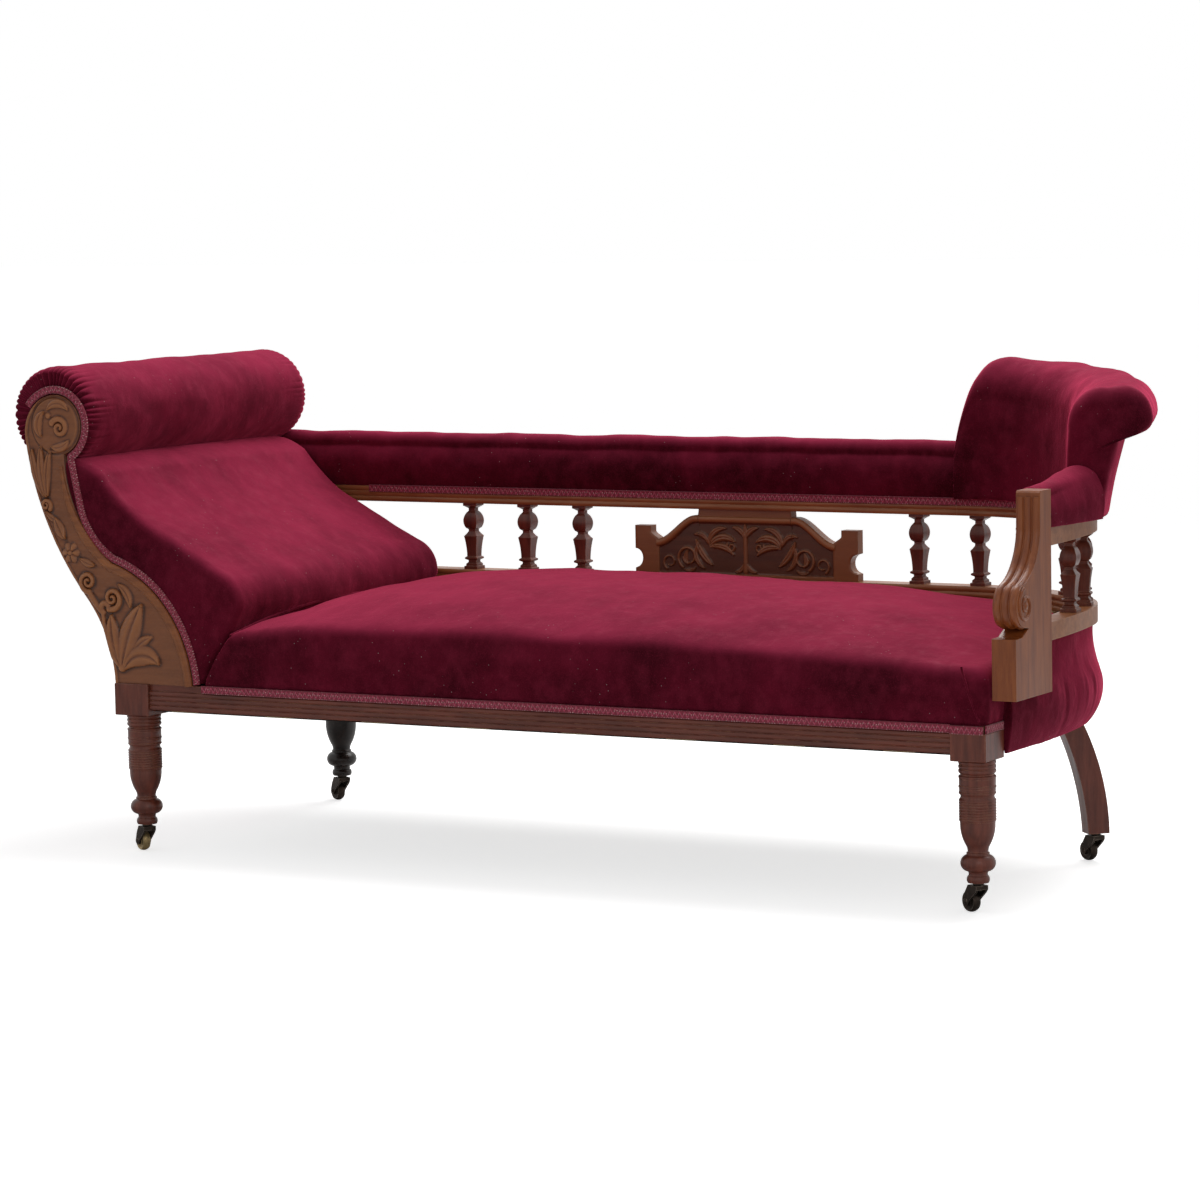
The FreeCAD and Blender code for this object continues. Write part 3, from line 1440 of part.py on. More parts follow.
def facing_braid():
    """Braid beside the facing's inner edge and round its boss."""
    boss_x, boss_z = boss_centre()
    radius = float(size("boss_radius"))

    def on_boss(degrees, clear=1.0):
        turn = math.radians(degrees)
        reach = radius + clear
        return boss_x + reach * math.cos(turn), boss_z + reach * math.sin(turn)

    path = [on_boss(150, 5.5), on_boss(120, 2.2) + ("arc",), on_boss(90, 1.2),
            on_boss(12) + ("arc",), on_boss(-66)] + inner_edge()[1:]
    wire = flat_wire([(p[0] + 1,) + p[1:] for p in path], closed=False)
    ribbon = wire.makeOffset2D(-BRAID, 0, True, True, False)
    front = float(FACING_FRONT) + float(size("cover_set_back"))
    return solid("gimp_facing", front_prism(ribbon, front - BRAID_DEEP, front - 0.2))


def build_braid():
    depth = size("rail_set_back")
    right = RIGHT_LEG + size("right_block_outer")
    front = box("gimp_front", (LEFT_LEG + (BACKREST_FOOT + 2), RIGHT_INNER),
                (RAIL_FRONT + (depth - (BRAID_DEEP + 0.3)), RAIL_FRONT + (depth - 0.3)),
                (RAIL_FACE_TOP + 0.5, RAIL_FACE_TOP + BRAID))
    side = box("gimp_side", (right - (depth - 0.3), right - (depth - (0.3 + BRAID_DEEP))),
               (FACING_FRONT + (depth + 0.5), FRONT_LEG + size("block_back")),
               (RAIL_FACE_TOP + 0.5, BLOCK_TOP - 0.5))
    corner = box("gimp_corner", (RIGHT_INNER + 0.5, right - (depth + 0.2)),
                 (FACING_FRONT + (depth - (BRAID_DEEP + 0.3)), FACING_FRONT + (depth - 0.3)),
                 (RAIL_FACE_TOP + 0.5, BLOCK_TOP - 0.5))
    back = box("gimp_back", (head_point(60, 0)[0], corner_centre().x),
               (BACK_FACE - BRAID_DEEP, BACK_FACE - 0.2),
               (UPPER_TOP - (BACK_BRAID + GAP), UPPER_TOP - GAP))
    face = -float(size("back_rail_width")) / 2
    end = solid("gimp_end", end_band(face - BRAID_DEEP, face - 0.2, 1.0, end_length() - 1,
                                     UPPER_TOP - (BACK_BRAID + GAP), UPPER_TOP - GAP))
    keep(group("gimp_braid", [facing_braid(), front, side, corner, back, end]))


def report_and_write():
    """Stop on any failed object or bad shape, then write one file a node."""
    doc.recompute()
    for item in doc.Objects:
        if "Invalid" in item.State or "Error" in item.State:
            raise RuntimeError("%s failed: %s" % (item.Label, item.State))
    for part in PARTS:
        if part.Shape.isNull() or not part.Shape.isValid():
            raise RuntimeError("%s has a bad shape" % part.Label)
    if len(PARTS) > 60:
        raise RuntimeError("more nodes than the library holds")
    os.makedirs("parts", exist_ok=True)
    for part in PARTS:
        part.Shape.exportStep("parts/%s.step" % part.Label)
        limits = part.Shape.BoundBox
        print("%-24s solids %2d volume %12.1f  X %8.1f %8.1f  Y %8.1f %8.1f  Z %7.1f %7.1f" % (
            part.Label, len(part.Shape.Solids), part.Shape.Volume, limits.XMin, limits.XMax,
            limits.YMin, limits.YMax, limits.ZMin, limits.ZMax))


build_castors()
build_legs()
build_seat_rails()
build_head()
build_backrest()
build_seat()
build_back()
back_roll()
arm_post()
arm_pad()
build_wing()
build_skirt()
build_braid()
report_and_write()
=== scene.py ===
"""The looks of a scroll-headed fainting couch in crimson velvet on a carved, reeded show-wood frame.

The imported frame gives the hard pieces. This file adds the upholstery, braid, carving, finishes, light and
camera. Sizes are in millimetres, in the couch's own frame, and become metres when a mesh is made.
"""

import logging
import math
from dataclasses import dataclass, replace
from enum import Enum
from typing import Any, Callable, Sequence

import bmesh
import bpy
import numpy as np
from mathutils import Matrix, Vector

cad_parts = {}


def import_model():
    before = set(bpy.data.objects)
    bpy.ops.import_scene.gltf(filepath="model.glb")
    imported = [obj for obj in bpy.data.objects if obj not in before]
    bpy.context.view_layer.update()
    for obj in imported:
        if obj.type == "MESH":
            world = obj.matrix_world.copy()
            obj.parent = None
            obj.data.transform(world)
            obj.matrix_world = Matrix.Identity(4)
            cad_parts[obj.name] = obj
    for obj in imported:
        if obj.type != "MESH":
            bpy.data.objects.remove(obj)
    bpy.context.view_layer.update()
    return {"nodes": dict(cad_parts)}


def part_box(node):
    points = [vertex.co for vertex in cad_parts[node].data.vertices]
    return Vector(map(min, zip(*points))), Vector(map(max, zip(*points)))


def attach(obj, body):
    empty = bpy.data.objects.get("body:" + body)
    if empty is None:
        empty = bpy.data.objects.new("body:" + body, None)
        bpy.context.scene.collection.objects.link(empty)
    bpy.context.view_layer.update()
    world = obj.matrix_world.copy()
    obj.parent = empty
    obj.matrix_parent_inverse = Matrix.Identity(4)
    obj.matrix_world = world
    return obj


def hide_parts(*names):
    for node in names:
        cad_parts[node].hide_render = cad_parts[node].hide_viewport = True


MM = 0.001
COUCH = "couch"
BOSS = (-840.0, 696.0)
LOG = logging.getLogger("couch")
Points = np.ndarray
Colour = tuple[float, float, float]


def arc_through(start: Points, middle: Points, end: Points, count: int = 14) -> Points:
    """Gives points on the circle that passes three points: centre from the two perpendicular bisectors.

    Args:
        start, middle, end: the three points, each of two numbers.
        count: how many points to give.

    Returns:
        The points after start up to end.
    """
    matrix = 2 * np.array([middle - start, end - start])
    centre = np.linalg.solve(matrix, [middle @ middle - start @ start, end @ end - start @ start])
    angles = [math.atan2(*(point - centre)[::-1]) for point in (start, middle, end)]
    sweep = (angles[2] - angles[0]) % math.tau
    if (angles[1] - angles[0]) % math.tau > sweep:
        sweep -= math.tau
    turn = angles[0] + sweep * np.arange(1, count + 1) / count
    radius = np.linalg.norm(start - centre)
    return centre + radius * np.stack([np.cos(turn), np.sin(turn)], -1)


def traced(outline: Sequence[tuple]) -> Points:
    """Turns an outline into a polyline; a point that ends in "arc" is the middle of an arc.

    Args:
        outline: points of two numbers, some with the word "arc" after them.

    Returns:
        The polyline's points.
    """
    line = [np.array([outline[0][:2]], float)]
    index = 1
    while index < len(outline):
        point = np.array(outline[index][:2], float)
        if len(outline[index]) == 3:
            line.append(arc_through(line[-1][-1], point, np.array(outline[index + 1][:2], float)))
            index += 1
        else:
            line.append(point[None])
        index += 1
    return np.concatenate(line)


def resample(line: Points, count: int, closed: bool = False) -> Points:
    """Spaces points evenly along a polyline.

    Args:
        line: the polyline, one row a point.
        count: how many points to give.
        closed: whether the line runs on from its last point to its first.

    Returns:
        The evenly spaced points; a closed line's first point isn't repeated.
    """
    if closed:
        line = np.concatenate([line, line[:1]])
    steps = np.linalg.norm(np.diff(line, axis=0), axis=1)
    length = np.concatenate([[0], np.cumsum(steps)])
    wanted = np.linspace(0, length[-1], count, endpoint=not closed)
    return np.stack([np.interp(wanted, length, column) for column in line.T], -1)


def rounded(line: Points, passes: int = 3, closed: bool = True) -> Points:
    """Cuts a polyline's corners at a quarter and three quarters of each side, several times over."""
    for _ in range(passes):
        after = np.roll(line, -1, axis=0)
        pairs = np.stack([0.75 * line + 0.25 * after, 0.25 * line + 0.75 * after], 1)
        cut = pairs.reshape(-1, line.shape[1])
        line = cut if closed else np.concatenate([line[:1], cut[:-2], line[-1:]])
    return line


def wander(points: Points, size: float, seed: int) -> Points:
    """Gives a smooth wavering value from about -1 to 1: a sum of six sine waves in seeded directions.

    Args:
        points: the places, as rows of three numbers in the last axis.
        size: the length of a wave in millimetres.
        seed: chooses the waves.

    Returns:
        One value for each place.
    """
    chance = np.random.default_rng(seed)
    ways = chance.normal(size=(6, 3))
    ways /= np.linalg.norm(ways, axis=1, keepdims=True)
    speeds = chance.uniform(0.7, 1.6, 6) * math.tau / size
    starts = chance.uniform(0, math.tau, 6)
    return np.sin(points @ (ways * speeds[:, None]).T + starts).sum(-1) / 3.2


def smooth_step(value: Points | float, low: float, high: float) -> Points:
    """Rises from 0 at low to 1 at high as a cubic with level ends."""
    share = np.clip((np.asarray(value, float) - low) / (high - low), 0, 1)
    return share * share * (3 - 2 * share)


def half_round(value: Points) -> Points:
    """Gives the height of a half circle over -1 to 1, and 0 outside it."""
    return np.sqrt(np.clip(1 - value ** 2, 0, 1))


def stood(flat: Points, y: Points | float) -> Points:
    """Gives points of X and Z their place along Y."""
    return np.column_stack([flat[:, 0], np.broadcast_to(y, len(flat)), flat[:, 1]])


class Shell:
    """Gathers closed surfaces and turns them into one piece of the couch."""

    def __init__(self, name: str) -> None:
        """Starts an empty piece of that name."""
        self.name = name
        self.points: list[Points] = []
        self.faces: list[list[int]] = []
        self.uvs: list[Points] = []
        self.relief: list[Points] = []
        self.count = 0

    def add(self, points: Points, faces: list[list[int]], uv: Points | None = None,
            relief: Points | None = None) -> None:
        """Adds one closed surface, turned so that its faces look outwards: its signed volume is positive.

        Args:
            points: rows of three numbers in millimetres.
            faces: corner lists into points.
            uv: two numbers a point for a pattern that follows the surface.
            relief: one number a point, the carved wood's tone: 0 in a hollow, which gets a painted shade, 1
                on a top, which is paler from rubbing and a painted highlight.
        """
        centred = points - points.mean(0)
        first = centred[[face[0] for face in faces]]
        third = centred[[face[2] for face in faces]]
        volume = (first * np.cross(centred[[face[1] for face in faces]], third)).sum()
        volume += (first * np.cross(third, centred[[face[-1] for face in faces]])).sum()
        order = 1 if volume > 0 else -1
        self.faces += [[corner + self.count for corner in face[::order]] for face in faces]
        self.points.append(points)
        self.uvs.append(np.zeros((len(points), 2)) if uv is None else uv)
        self.relief.append(np.zeros(len(points)) if relief is None else relief)
        self.count += len(points)

    def loft(self, rings: Points, uv: Points | None = None, poles: bool = True,
             rungs: bool = False) -> None:
        """Joins rings of points into a closed skin, with a fan from a middle point over each end.

        Args:
            rings: an array of rings, points and three numbers.
            uv: an array of rings, points and two numbers, or none.
            poles: whether the ends get fans; without them each end ring closes on itself, for a weld.
            rungs: whether the ends are strips between a ring's first half and its second, run backwards.
        """
        rows, columns = rings.shape[:2]
        start = np.arange(rows - 1)[:, None] * columns
        here = start + np.arange(columns)[None]
        after = start + (np.arange(columns)[None] + 1) % columns
        quads = np.stack([here, after, after + columns, here + columns], -1)
        ends = rings[[0, -1]].mean(1)
        low, high = rows * columns, rows * columns + 1
        ring = np.arange(columns)
        low_fan = np.stack([np.roll(ring, -1), ring, np.full(columns, low)], -1)
        last = ring + (rows - 1) * columns
        high_fan = np.stack([last, np.roll(last, -1), np.full(columns, high)], -1)
        faces = quads.reshape(-1, 4).tolist() + low_fan.tolist() + high_fan.tolist()
        points = np.concatenate([rings.reshape(-1, 3), ends])
        if uv is not None:
            uv = np.concatenate([uv.reshape(-1, 2), uv[[0, -1]].mean(1)])
        if rungs:
            low_side = np.arange(columns // 2 - 1)
            strip = np.stack([low_side, columns - 1 - low_side, columns - 2 - low_side, low_side + 1], -1)
            far_strip = strip[:, ::-1] + (rows - 1) * columns
            faces = np.concatenate([quads.reshape(-1, 4), strip, far_strip]).tolist()
            points = points[:-2]
        elif not poles:
            faces = quads.reshape(-1, 4).tolist()
            points = points[:-2]
        self.add(points, faces, uv)

    def tube(self, path: Points, radius: float | Points, sides: int = 12, squash: float = 1.0,
             upward: Colour = (0.0, 0.0, 1.0)) -> None:
        """Sweeps a round section along a path.

        Args:
            path: rows of three numbers.
            radius: one radius, or one for each point of the path.
            sides: how many points the section has.
            squash: the section's height as a share of its width.
            upward: a direction that the path never runs along.
        """
        ahead = np.gradient(path, axis=0)
        ahead /= np.linalg.norm(ahead, axis=1, keepdims=True)
        side = np.cross(ahead, np.array(upward))
        side /= np.linalg.norm(side, axis=1, keepdims=True)
        top = np.cross(side, ahead)
        turn = np.linspace(0, math.tau, sides, endpoint=False)[None, :, None]
        size = np.broadcast_to(np.asarray(radius, float), len(path))[:, None, None]
        ring = side[:, None] * np.cos(turn) + squash * top[:, None] * np.sin(turn)
        self.loft(path[:, None] + size * ring)

    def build(self, material: Any, slot: str, replaces: Sequence[str] = (), sharp: float = 50.0,
              weld: float = 0.0) -> Any:
        """Makes the piece's mesh and object, which rides on the couch.

        Args:
            material: its material.
            slot: a slot name from the record; not used.
            replaces: the CAD nodes that it stands for.
            sharp: the angle in degrees past which an edge isn't smoothed.
            weld: how near in millimetres two points are merged, or 0 for none.

        Returns:
            The object.
        """
        mesh = bpy.data.meshes.new(self.name)
        mesh.from_pydata((np.concatenate(self.points) * MM).tolist(), [], self.faces)
        corners = np.empty(len(mesh.loops), int)
        mesh.loops.foreach_get("vertex_index", corners)
        layer = mesh.uv_layers.new(name="along")
        layer.data.foreach_set("uv", np.concatenate(self.uvs)[corners].ravel())
        mark = mesh.attributes.new("relief", "FLOAT", "POINT")
        mark.data.foreach_set("value", np.concatenate(self.relief))
        if weld:
            work = bmesh.new()
            work.from_mesh(mesh)
            bmesh.ops.remove_doubles(work, verts=work.verts, dist=weld * MM)
            work.to_mesh(mesh)
            work.free()
        mesh.polygons.foreach_set("use_smooth", np.ones(len(mesh.polygons), bool))
        mesh.set_sharp_from_angle(angle=math.radians(sharp))
        mesh.materials.append(material)
        mesh.update()
        piece = bpy.data.objects.new(self.name, mesh)
        bpy.context.collection.objects.link(piece)
        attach(piece, COUCH)
        if replaces:
            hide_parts(*replaces)
        LOG.info("%s: %d faces", self.name, len(self.faces))
        return piece


@dataclass(frozen=True)
class EndPlan:
    """The plan line of the bowed right end: straight by the post, bowed, round the corner, the back."""

    side_x: float = 810.0
    post_back: float = -204.0
    bow_radius: float = 1500.0
    corner_radius: float = 320.0
    bow_length: float = 240.0

    @property
    def bow_turn(self) -> float:
        """Gives the angle in radians that the bow turns."""
        return self.bow_length / self.bow_radius

    @property
    def end_length(self) -> float:
        """Gives the run at which the corner has turned to the back."""
        return self.bow_length + self.corner_radius * (math.pi / 2 - self.bow_turn)

    def place(self, run: Points, offset: Points, height: Points) -> Points:
        """Gives the place at a run along the line, an offset outwards from it and a height.

        The bow is an arc about a far centre, the corner an arc that meets it with the same heading.

        Args:
            run, offset, height: arrays that broadcast together, in millimetres.

        Returns:
            The places, with three numbers in the last axis.
        """
        run, offset, height = np.broadcast_arrays(run, offset, height)
        bow_centre = np.array([self.side_x - self.bow_radius, self.post_back])
        meet = bow_centre + self.bow_radius * np.array([math.cos(self.bow_turn), math.sin(self.bow_turn)])
        heading = np.array([math.cos(self.bow_turn), math.sin(self.bow_turn)])
        corner_centre = meet - self.corner_radius * heading
        bow = np.clip(run, 0, self.bow_length) / self.bow_radius
        turned = np.clip((run - self.bow_length) / self.corner_radius, 0, math.pi / 2 - self.bow_turn)
        corner = self.bow_turn + turned
        past = np.maximum(run - self.end_length, 0)
        in_bow = run <= self.bow_length
        wide, tight = self.bow_radius + offset, self.corner_radius + offset
        x = np.where(in_bow, bow_centre[0] + wide * np.cos(bow),
                     corner_centre[0] + tight * np.cos(corner) - past)
        y = np.where(in_bow, bow_centre[1] + wide * np.sin(bow) + np.minimum(run, 0),
                     corner_centre[1] + tight * np.sin(corner))
        return np.stack([x, y, height], -1)


PLAN = EndPlan()


class Graph:
    """Writes shader nodes into a material's or a group's node tree."""

    def __init__(self, tree: Any) -> None:
        """Keeps the tree that the nodes go into."""
        self.tree = tree

    def node(self, kind: str, inputs: dict | None = None, **settings: Any) -> Any:
        """Adds a node, sets its properties and fills its inputs with values or links.

        Args:
            kind: the node's type without "ShaderNode".
            inputs: values or output sockets by input name or number.
            settings: the node's own properties.

        Returns:
            The node.
        """
        made = self.tree.nodes.new("ShaderNode" + kind)
        for key, value in settings.items():
            setattr(made, key, value)
        return self.fill(made, inputs or {})

    def fill(self, node: Any, inputs: dict) -> Any:
        """Gives a node's inputs their values, or links to them, and gives the node back."""
        for key, value in inputs.items():
            if isinstance(value, bpy.types.NodeSocket):
                self.link(value, node.inputs[key])
            else:
                node.inputs[key].default_value = value
        return node

    def link(self, output: Any, entry: Any) -> None:
        """Links an output socket to an input socket."""
        self.tree.links.new(output, entry)

    def noise(self, vector: Any, scale: float, detail: float = 3.0, roughness: float = 0.55) -> Any:
        """Gives the value of a noise texture."""
        inputs = {"Vector": vector, "Scale": scale, "Detail": detail, "Roughness": roughness}
        return self.node("TexNoise", inputs).outputs[0]

    def ramp(self, value: Any, low: float, high: float, to_low: float = 0.0, to_high: float = 1.0) -> Any:
        """Gives a value mapped from one range to another and kept inside it."""
        inputs = {"Value": value, "From Min": low, "From Max": high, "To Min": to_low, "To Max": to_high}
        return self.node("MapRange", inputs).outputs[0]

    def math(self, what: str, first: Any, second: Any = 0.0) -> Any:
        """Gives the result of one sum."""
        return self.node("Math", {0: first, 1: second}, operation=what).outputs[0]

    def times(self, first: Any, second: Any) -> Any:
        """Gives a product."""
        return self.math("MULTIPLY", first, second)

    def mix(self, share: Any, first: Any, second: Any, how: str = "MIX") -> Any:
        """Gives a mix of two colours."""
        def colour(value: Any) -> Any:
            """Gives a colour of three numbers its fourth."""
            return (*value, 1.0) if isinstance(value, tuple) else value
        inputs = {0: share, 6: colour(first), 7: colour(second)}
        return self.node("Mix", inputs, data_type="RGBA", blend_type=how).outputs[2]

    def stretched(self, vector: Any, scale: Colour) -> Any:
        """Gives coordinates stretched by a scale for each axis."""
        return self.node("Mapping", {"Vector": vector, "Scale": scale}).outputs[0]


def new_group(name: str, inputs: dict[str, Any], outputs: dict[str, str]) -> tuple[Any, Graph, Any, Any]:
    """Starts a node group with named sockets.

    Args:
        name: the group's name.
        inputs: each input's name with its value: a number, or three numbers for a vector.
        outputs: each output's name with its kind, Float or Color.

    Returns:
        The group's tree, its graph, its input node and its output node.
    """
    tree = bpy.data.node_groups.new(name, "ShaderNodeTree")
    for key, value in inputs.items():
        kind = "NodeSocketFloat" if isinstance(value, float) else "NodeSocketVector"
        tree.interface.new_socket(key, in_out="INPUT", socket_type=kind).default_value = value
    for key, kind in outputs.items():
        tree.interface.new_socket(key, in_out="OUTPUT", socket_type="NodeSocket" + kind)
    graph = Graph(tree)
    return tree, graph, tree.nodes.new("NodeGroupInput"), tree.nodes.new("NodeGroupOutput")


def grain_group() -> Any:
    """Makes the wood grain group: long streaks, fine pores and slow patches, as masks and a height."""
    tree, graph, entry, leave = new_group("wood_grain", {"Vector": (0.0, 0.0, 0.0), "Scale": 1.0},
                                          {"Streaks": "Float", "Patches": "Float", "Height": "Float"})
    place = graph.node("VectorMath", {0: entry.outputs["Vector"], "Scale": entry.outputs["Scale"]},
                       operation="SCALE").outputs[0]
    streaks = graph.noise(graph.stretched(place, (9.0, 90.0, 90.0)), 1.0, 5.0, 0.65)
    pores = graph.noise(graph.stretched(place, (60.0, 900.0, 900.0)), 1.0, 2.0)
    patches = graph.noise(place, 7.0, 3.0)
    height = graph.math("ADD", graph.times(streaks, 0.6), graph.times(pores, 0.4))
    graph.link(graph.ramp(streaks, 0.36, 0.64), leave.inputs["Streaks"])
    graph.link(graph.ramp(patches, 0.38, 0.66), leave.inputs["Patches"])
    graph.link(height, leave.inputs["Height"])
    return tree


def wear_group() -> Any:
    """Makes the edge wear group: where a rounded normal leaves the true one, broken up by noise."""
    inputs = {"Vector": (0.0, 0.0, 0.0), "Radius": 0.003, "Spread": 1.0}
    tree, graph, entry, leave = new_group("edge_wear", inputs, {"Worn": "Float", "Dust": "Float"})
    bevel = graph.node("Bevel", {"Radius": entry.outputs["Radius"]}, samples=4).outputs[0]
    geometry = graph.node("NewGeometry")
    facing = graph.node("VectorMath", {0: bevel, 1: geometry.outputs["Normal"]}, operation="DOT_PRODUCT")
    edge = graph.ramp(facing.outputs["Value"], 0.985, 0.80)
    broken = graph.ramp(graph.noise(entry.outputs["Vector"], 55.0, 5.0, 0.7), 0.40, 0.60)
    worn = graph.times(graph.times(edge, broken), entry.outputs["Spread"])
    dust = graph.ramp(graph.noise(entry.outputs["Vector"], 240.0, 4.0, 0.7), 0.55, 0.75)
    graph.link(worn, leave.inputs["Worn"])
    graph.link(dust, leave.inputs["Dust"])
    return tree


def nap_group() -> Any:
    """Makes the velvet nap group: slow brushed patches, crushed marks, pile grain and stray lint."""
    tree, graph, entry, leave = new_group("velvet_nap", {"Vector": (0.0, 0.0, 0.0)},
                                          {"Brushed": "Float", "Crushed": "Float", "Pile": "Float",
                                           "Lint": "Float", "Height": "Float"})
    place = entry.outputs["Vector"]
    brushed = graph.ramp(graph.noise(graph.stretched(place, (1.0, 1.4, 1.2)), 7.0, 4.0, 0.6), 0.36, 0.68)
    crushed = graph.ramp(graph.noise(graph.stretched(place, (1.0, 1.0, 0.8)), 46.0, 4.0, 0.6), 0.44, 0.72)
    pile = graph.noise(place, 620.0, 3.0, 0.7)
    cells = graph.node("TexVoronoi", {"Vector": place, "Scale": 95.0})
    specks = graph.ramp(cells.outputs["Distance"], 0.10, 0.04)
    lint = graph.times(specks, graph.ramp(graph.noise(place, 12.0, 2.0), 0.52, 0.62))
    height = graph.math("ADD", graph.times(pile, 0.35), graph.times(crushed, 0.65))
    tufts = graph.ramp(pile, 0.52, 0.68)
    for name, value in (("Brushed", brushed), ("Crushed", crushed), ("Pile", tufts), ("Lint", lint),
                        ("Height", height)):
        graph.link(value, leave.inputs[name])
    return tree


def weave_group() -> Any:
    """Makes the plain weave group: two crossed sine waves, whose product is the cloth's height."""
    tree, graph, entry, leave = new_group("plain_weave", {"Vector": (0.0, 0.0, 0.0), "Threads": 900.0},
                                          {"Height": "Float", "Slub": "Float"})
    parts = graph.node("SeparateXYZ", {0: entry.outputs["Vector"]})
    waves = []
    for axis in (0, 1):
        phase = graph.times(parts.outputs[axis], entry.outputs["Threads"])
        waves.append(graph.math("SINE", phase))
    height = graph.times(waves[0], waves[1])
    slub = graph.noise(graph.stretched(entry.outputs["Vector"], (8.0, 260.0, 1.0)), 1.0, 3.0)
    graph.link(height, leave.inputs["Height"])
    graph.link(slub, leave.inputs["Slub"])
    return tree


GROUPS: dict[str, Any] = {}


def placed_group(graph: Graph, maker: Any, inputs: dict) -> Any:
    """Places a shared group, which is built the first time, in a material."""
    if maker.__name__ not in GROUPS:
        GROUPS[maker.__name__] = maker()
    made = graph.tree.nodes.new("ShaderNodeGroup")
    made.node_tree = GROUPS[maker.__name__]
    return graph.fill(made, inputs)


def started(name: str) -> tuple[Any, Graph, Any, Any]:
    """Starts a material and gives it with its graph, its Principled shader and Object coordinates."""
    material = bpy.data.materials.new(name)
    material.use_nodes = True
    graph = Graph(material.node_tree)
    shader = material.node_tree.nodes["Principled BSDF"]
    return material, graph, shader, graph.node("TexCoord").outputs["Object"]


def bumped(graph: Graph, shader: Any, height: Any, strength: float, distance: float,
           normal: Any = None) -> None:
    """Feeds a height through a Bump node into the shader's normal."""
    inputs = {"Height": height, "Strength": strength, "Distance": distance}
    if normal is not None:
        inputs["Normal"] = normal
    graph.link(graph.node("Bump", inputs).outputs[0], shader.inputs["Normal"])


@dataclass(frozen=True)
class Wood:
    """French polished wood: two tones of grain, pale worn edges, dust, and carving whose hollows get a
    painted shade and whose raised tops are paler from rubbing and a painted highlight.
    """

    name: str
    dark: Colour
    light: Colour
    worn: Colour
    rough: float = 0.36
    coat: float = 0.18
    spread: float = 0.8
    bevel: float = 0.0022
    along: Colour = (1.0, 1.0, 1.0)
    carved: bool = False
    # painted shade: the near-black colour that the carving's hollows get
    recess_shade: Colour = (0.030, 0.011, 0.006)

    def make(self) -> Any:
        """Builds the material; its grain is long where "along" makes the coordinates short."""
        material, graph, shader, place = started(self.name)
        turned = graph.stretched(place, self.along)
        grain = placed_group(graph, grain_group, {"Vector": turned})
        edges = {"Vector": place, "Radius": self.bevel, "Spread": self.spread}
        wear = placed_group(graph, wear_group, edges)
        base = graph.mix(grain.outputs["Streaks"], self.dark, self.light)
        tired_and_shaded = graph.mix(graph.times(grain.outputs["Patches"], 0.45), base, self.dark)
        if self.carved:
            # Carving: a high relief mixes towards the worn colour, partly wear from rubbing and partly a
            # painted highlight; a low relief mixes towards a painted shade.
            relief = graph.node("Attribute", attribute_name="relief").outputs["Fac"]
            high = graph.ramp(relief, 0.25, 0.95, 0.0, 0.85)
            tired_and_shaded = graph.mix(high, tired_and_shaded, self.worn)
            low = graph.ramp(relief, 0.0, 0.4, 0.8, 0.0)
            tired_and_shaded = graph.mix(low, tired_and_shaded, self.recess_shade)
        colour = graph.mix(wear.outputs["Worn"], tired_and_shaded, self.worn)
        dusty = graph.mix(graph.times(wear.outputs["Dust"], 0.04), colour, (0.42, 0.34, 0.26))
        graph.link(dusty, shader.inputs["Base Color"])
        rough = graph.ramp(grain.outputs["Patches"], 0.0, 1.0, self.rough - 0.06, self.rough + 0.14)
        dulled = graph.math("ADD", rough, graph.times(wear.outputs["Worn"], 0.2))
        graph.link(dulled, shader.inputs["Roughness"])
        shader.inputs["Specular IOR Level"].default_value = 0.35
        shader.inputs["Coat Weight"].default_value = self.coat
        shader.inputs["Coat Roughness"].default_value = 0.22
        soft = graph.node("Bevel", {"Radius": self.bevel * 0.6}, samples=4).outputs[0]
        bumped(graph, shader, grain.outputs["Height"], 0.25, 0.0006, soft)
        return material


@dataclass(frozen=True)
class Velvet:
    """Worn cotton velvet: a dark ground, paler brushed and crushed patches, a painted highlight that makes
    upward tops paler, lint.
    """

    name: str
    deep: Colour = (0.044, 0.0024, 0.0068)
    brushed: Colour = (0.125, 0.0055, 0.0190)
    crushed: Colour = (0.28, 0.020, 0.052)
    # painted highlight: the paler colour that faces which point up get, as if lit from above
    painted_top_light: Colour = (0.33, 0.026, 0.070)

    def make(self) -> Any:
        """Builds the material."""
        material, graph, shader, place = started(self.name)
        nap = placed_group(graph, nap_group, {"Vector": place})
        colour = graph.mix(nap.outputs["Brushed"], self.deep, self.brushed)
        nap_and_top_light = graph.mix(graph.times(nap.outputs["Crushed"], 0.22), colour, self.crushed)
        nap_and_top_light = graph.mix(graph.times(nap.outputs["Pile"], 0.30), nap_and_top_light, self.crushed)
        # Painted highlight: the object normal's height makes faces that point up paler, as if lit from
        # above; the brushed patches make it uneven.
        parts = graph.node("SeparateXYZ", {0: graph.node("TexCoord").outputs["Normal"]})
        upward = graph.ramp(parts.outputs[2], 0.05, 0.75, 0.0, 0.62)
        uneven = graph.ramp(nap.outputs["Brushed"], 0.0, 1.0, 0.65, 1.0)
        nap_and_top_light = graph.mix(graph.times(upward, uneven), nap_and_top_light, self.painted_top_light)
        linty = graph.mix(graph.times(nap.outputs["Lint"], 0.55), nap_and_top_light, (0.55, 0.42, 0.42))
        graph.link(linty, shader.inputs["Base Color"])
        rough = graph.ramp(nap.outputs["Crushed"], 0.0, 1.0, 0.86, 0.62)
        graph.link(rough, shader.inputs["Roughness"])
        shader.inputs["Specular IOR Level"].default_value = 0.03
        shader.inputs["Sheen Weight"].default_value = 1.0
        shader.inputs["Sheen Roughness"].default_value = 0.38
        shader.inputs["Sheen Tint"].default_value = (1.0, 0.10, 0.22, 1.0)
        bumped(graph, shader, nap.outputs["Height"], 0.5, 0.0011)
        return material


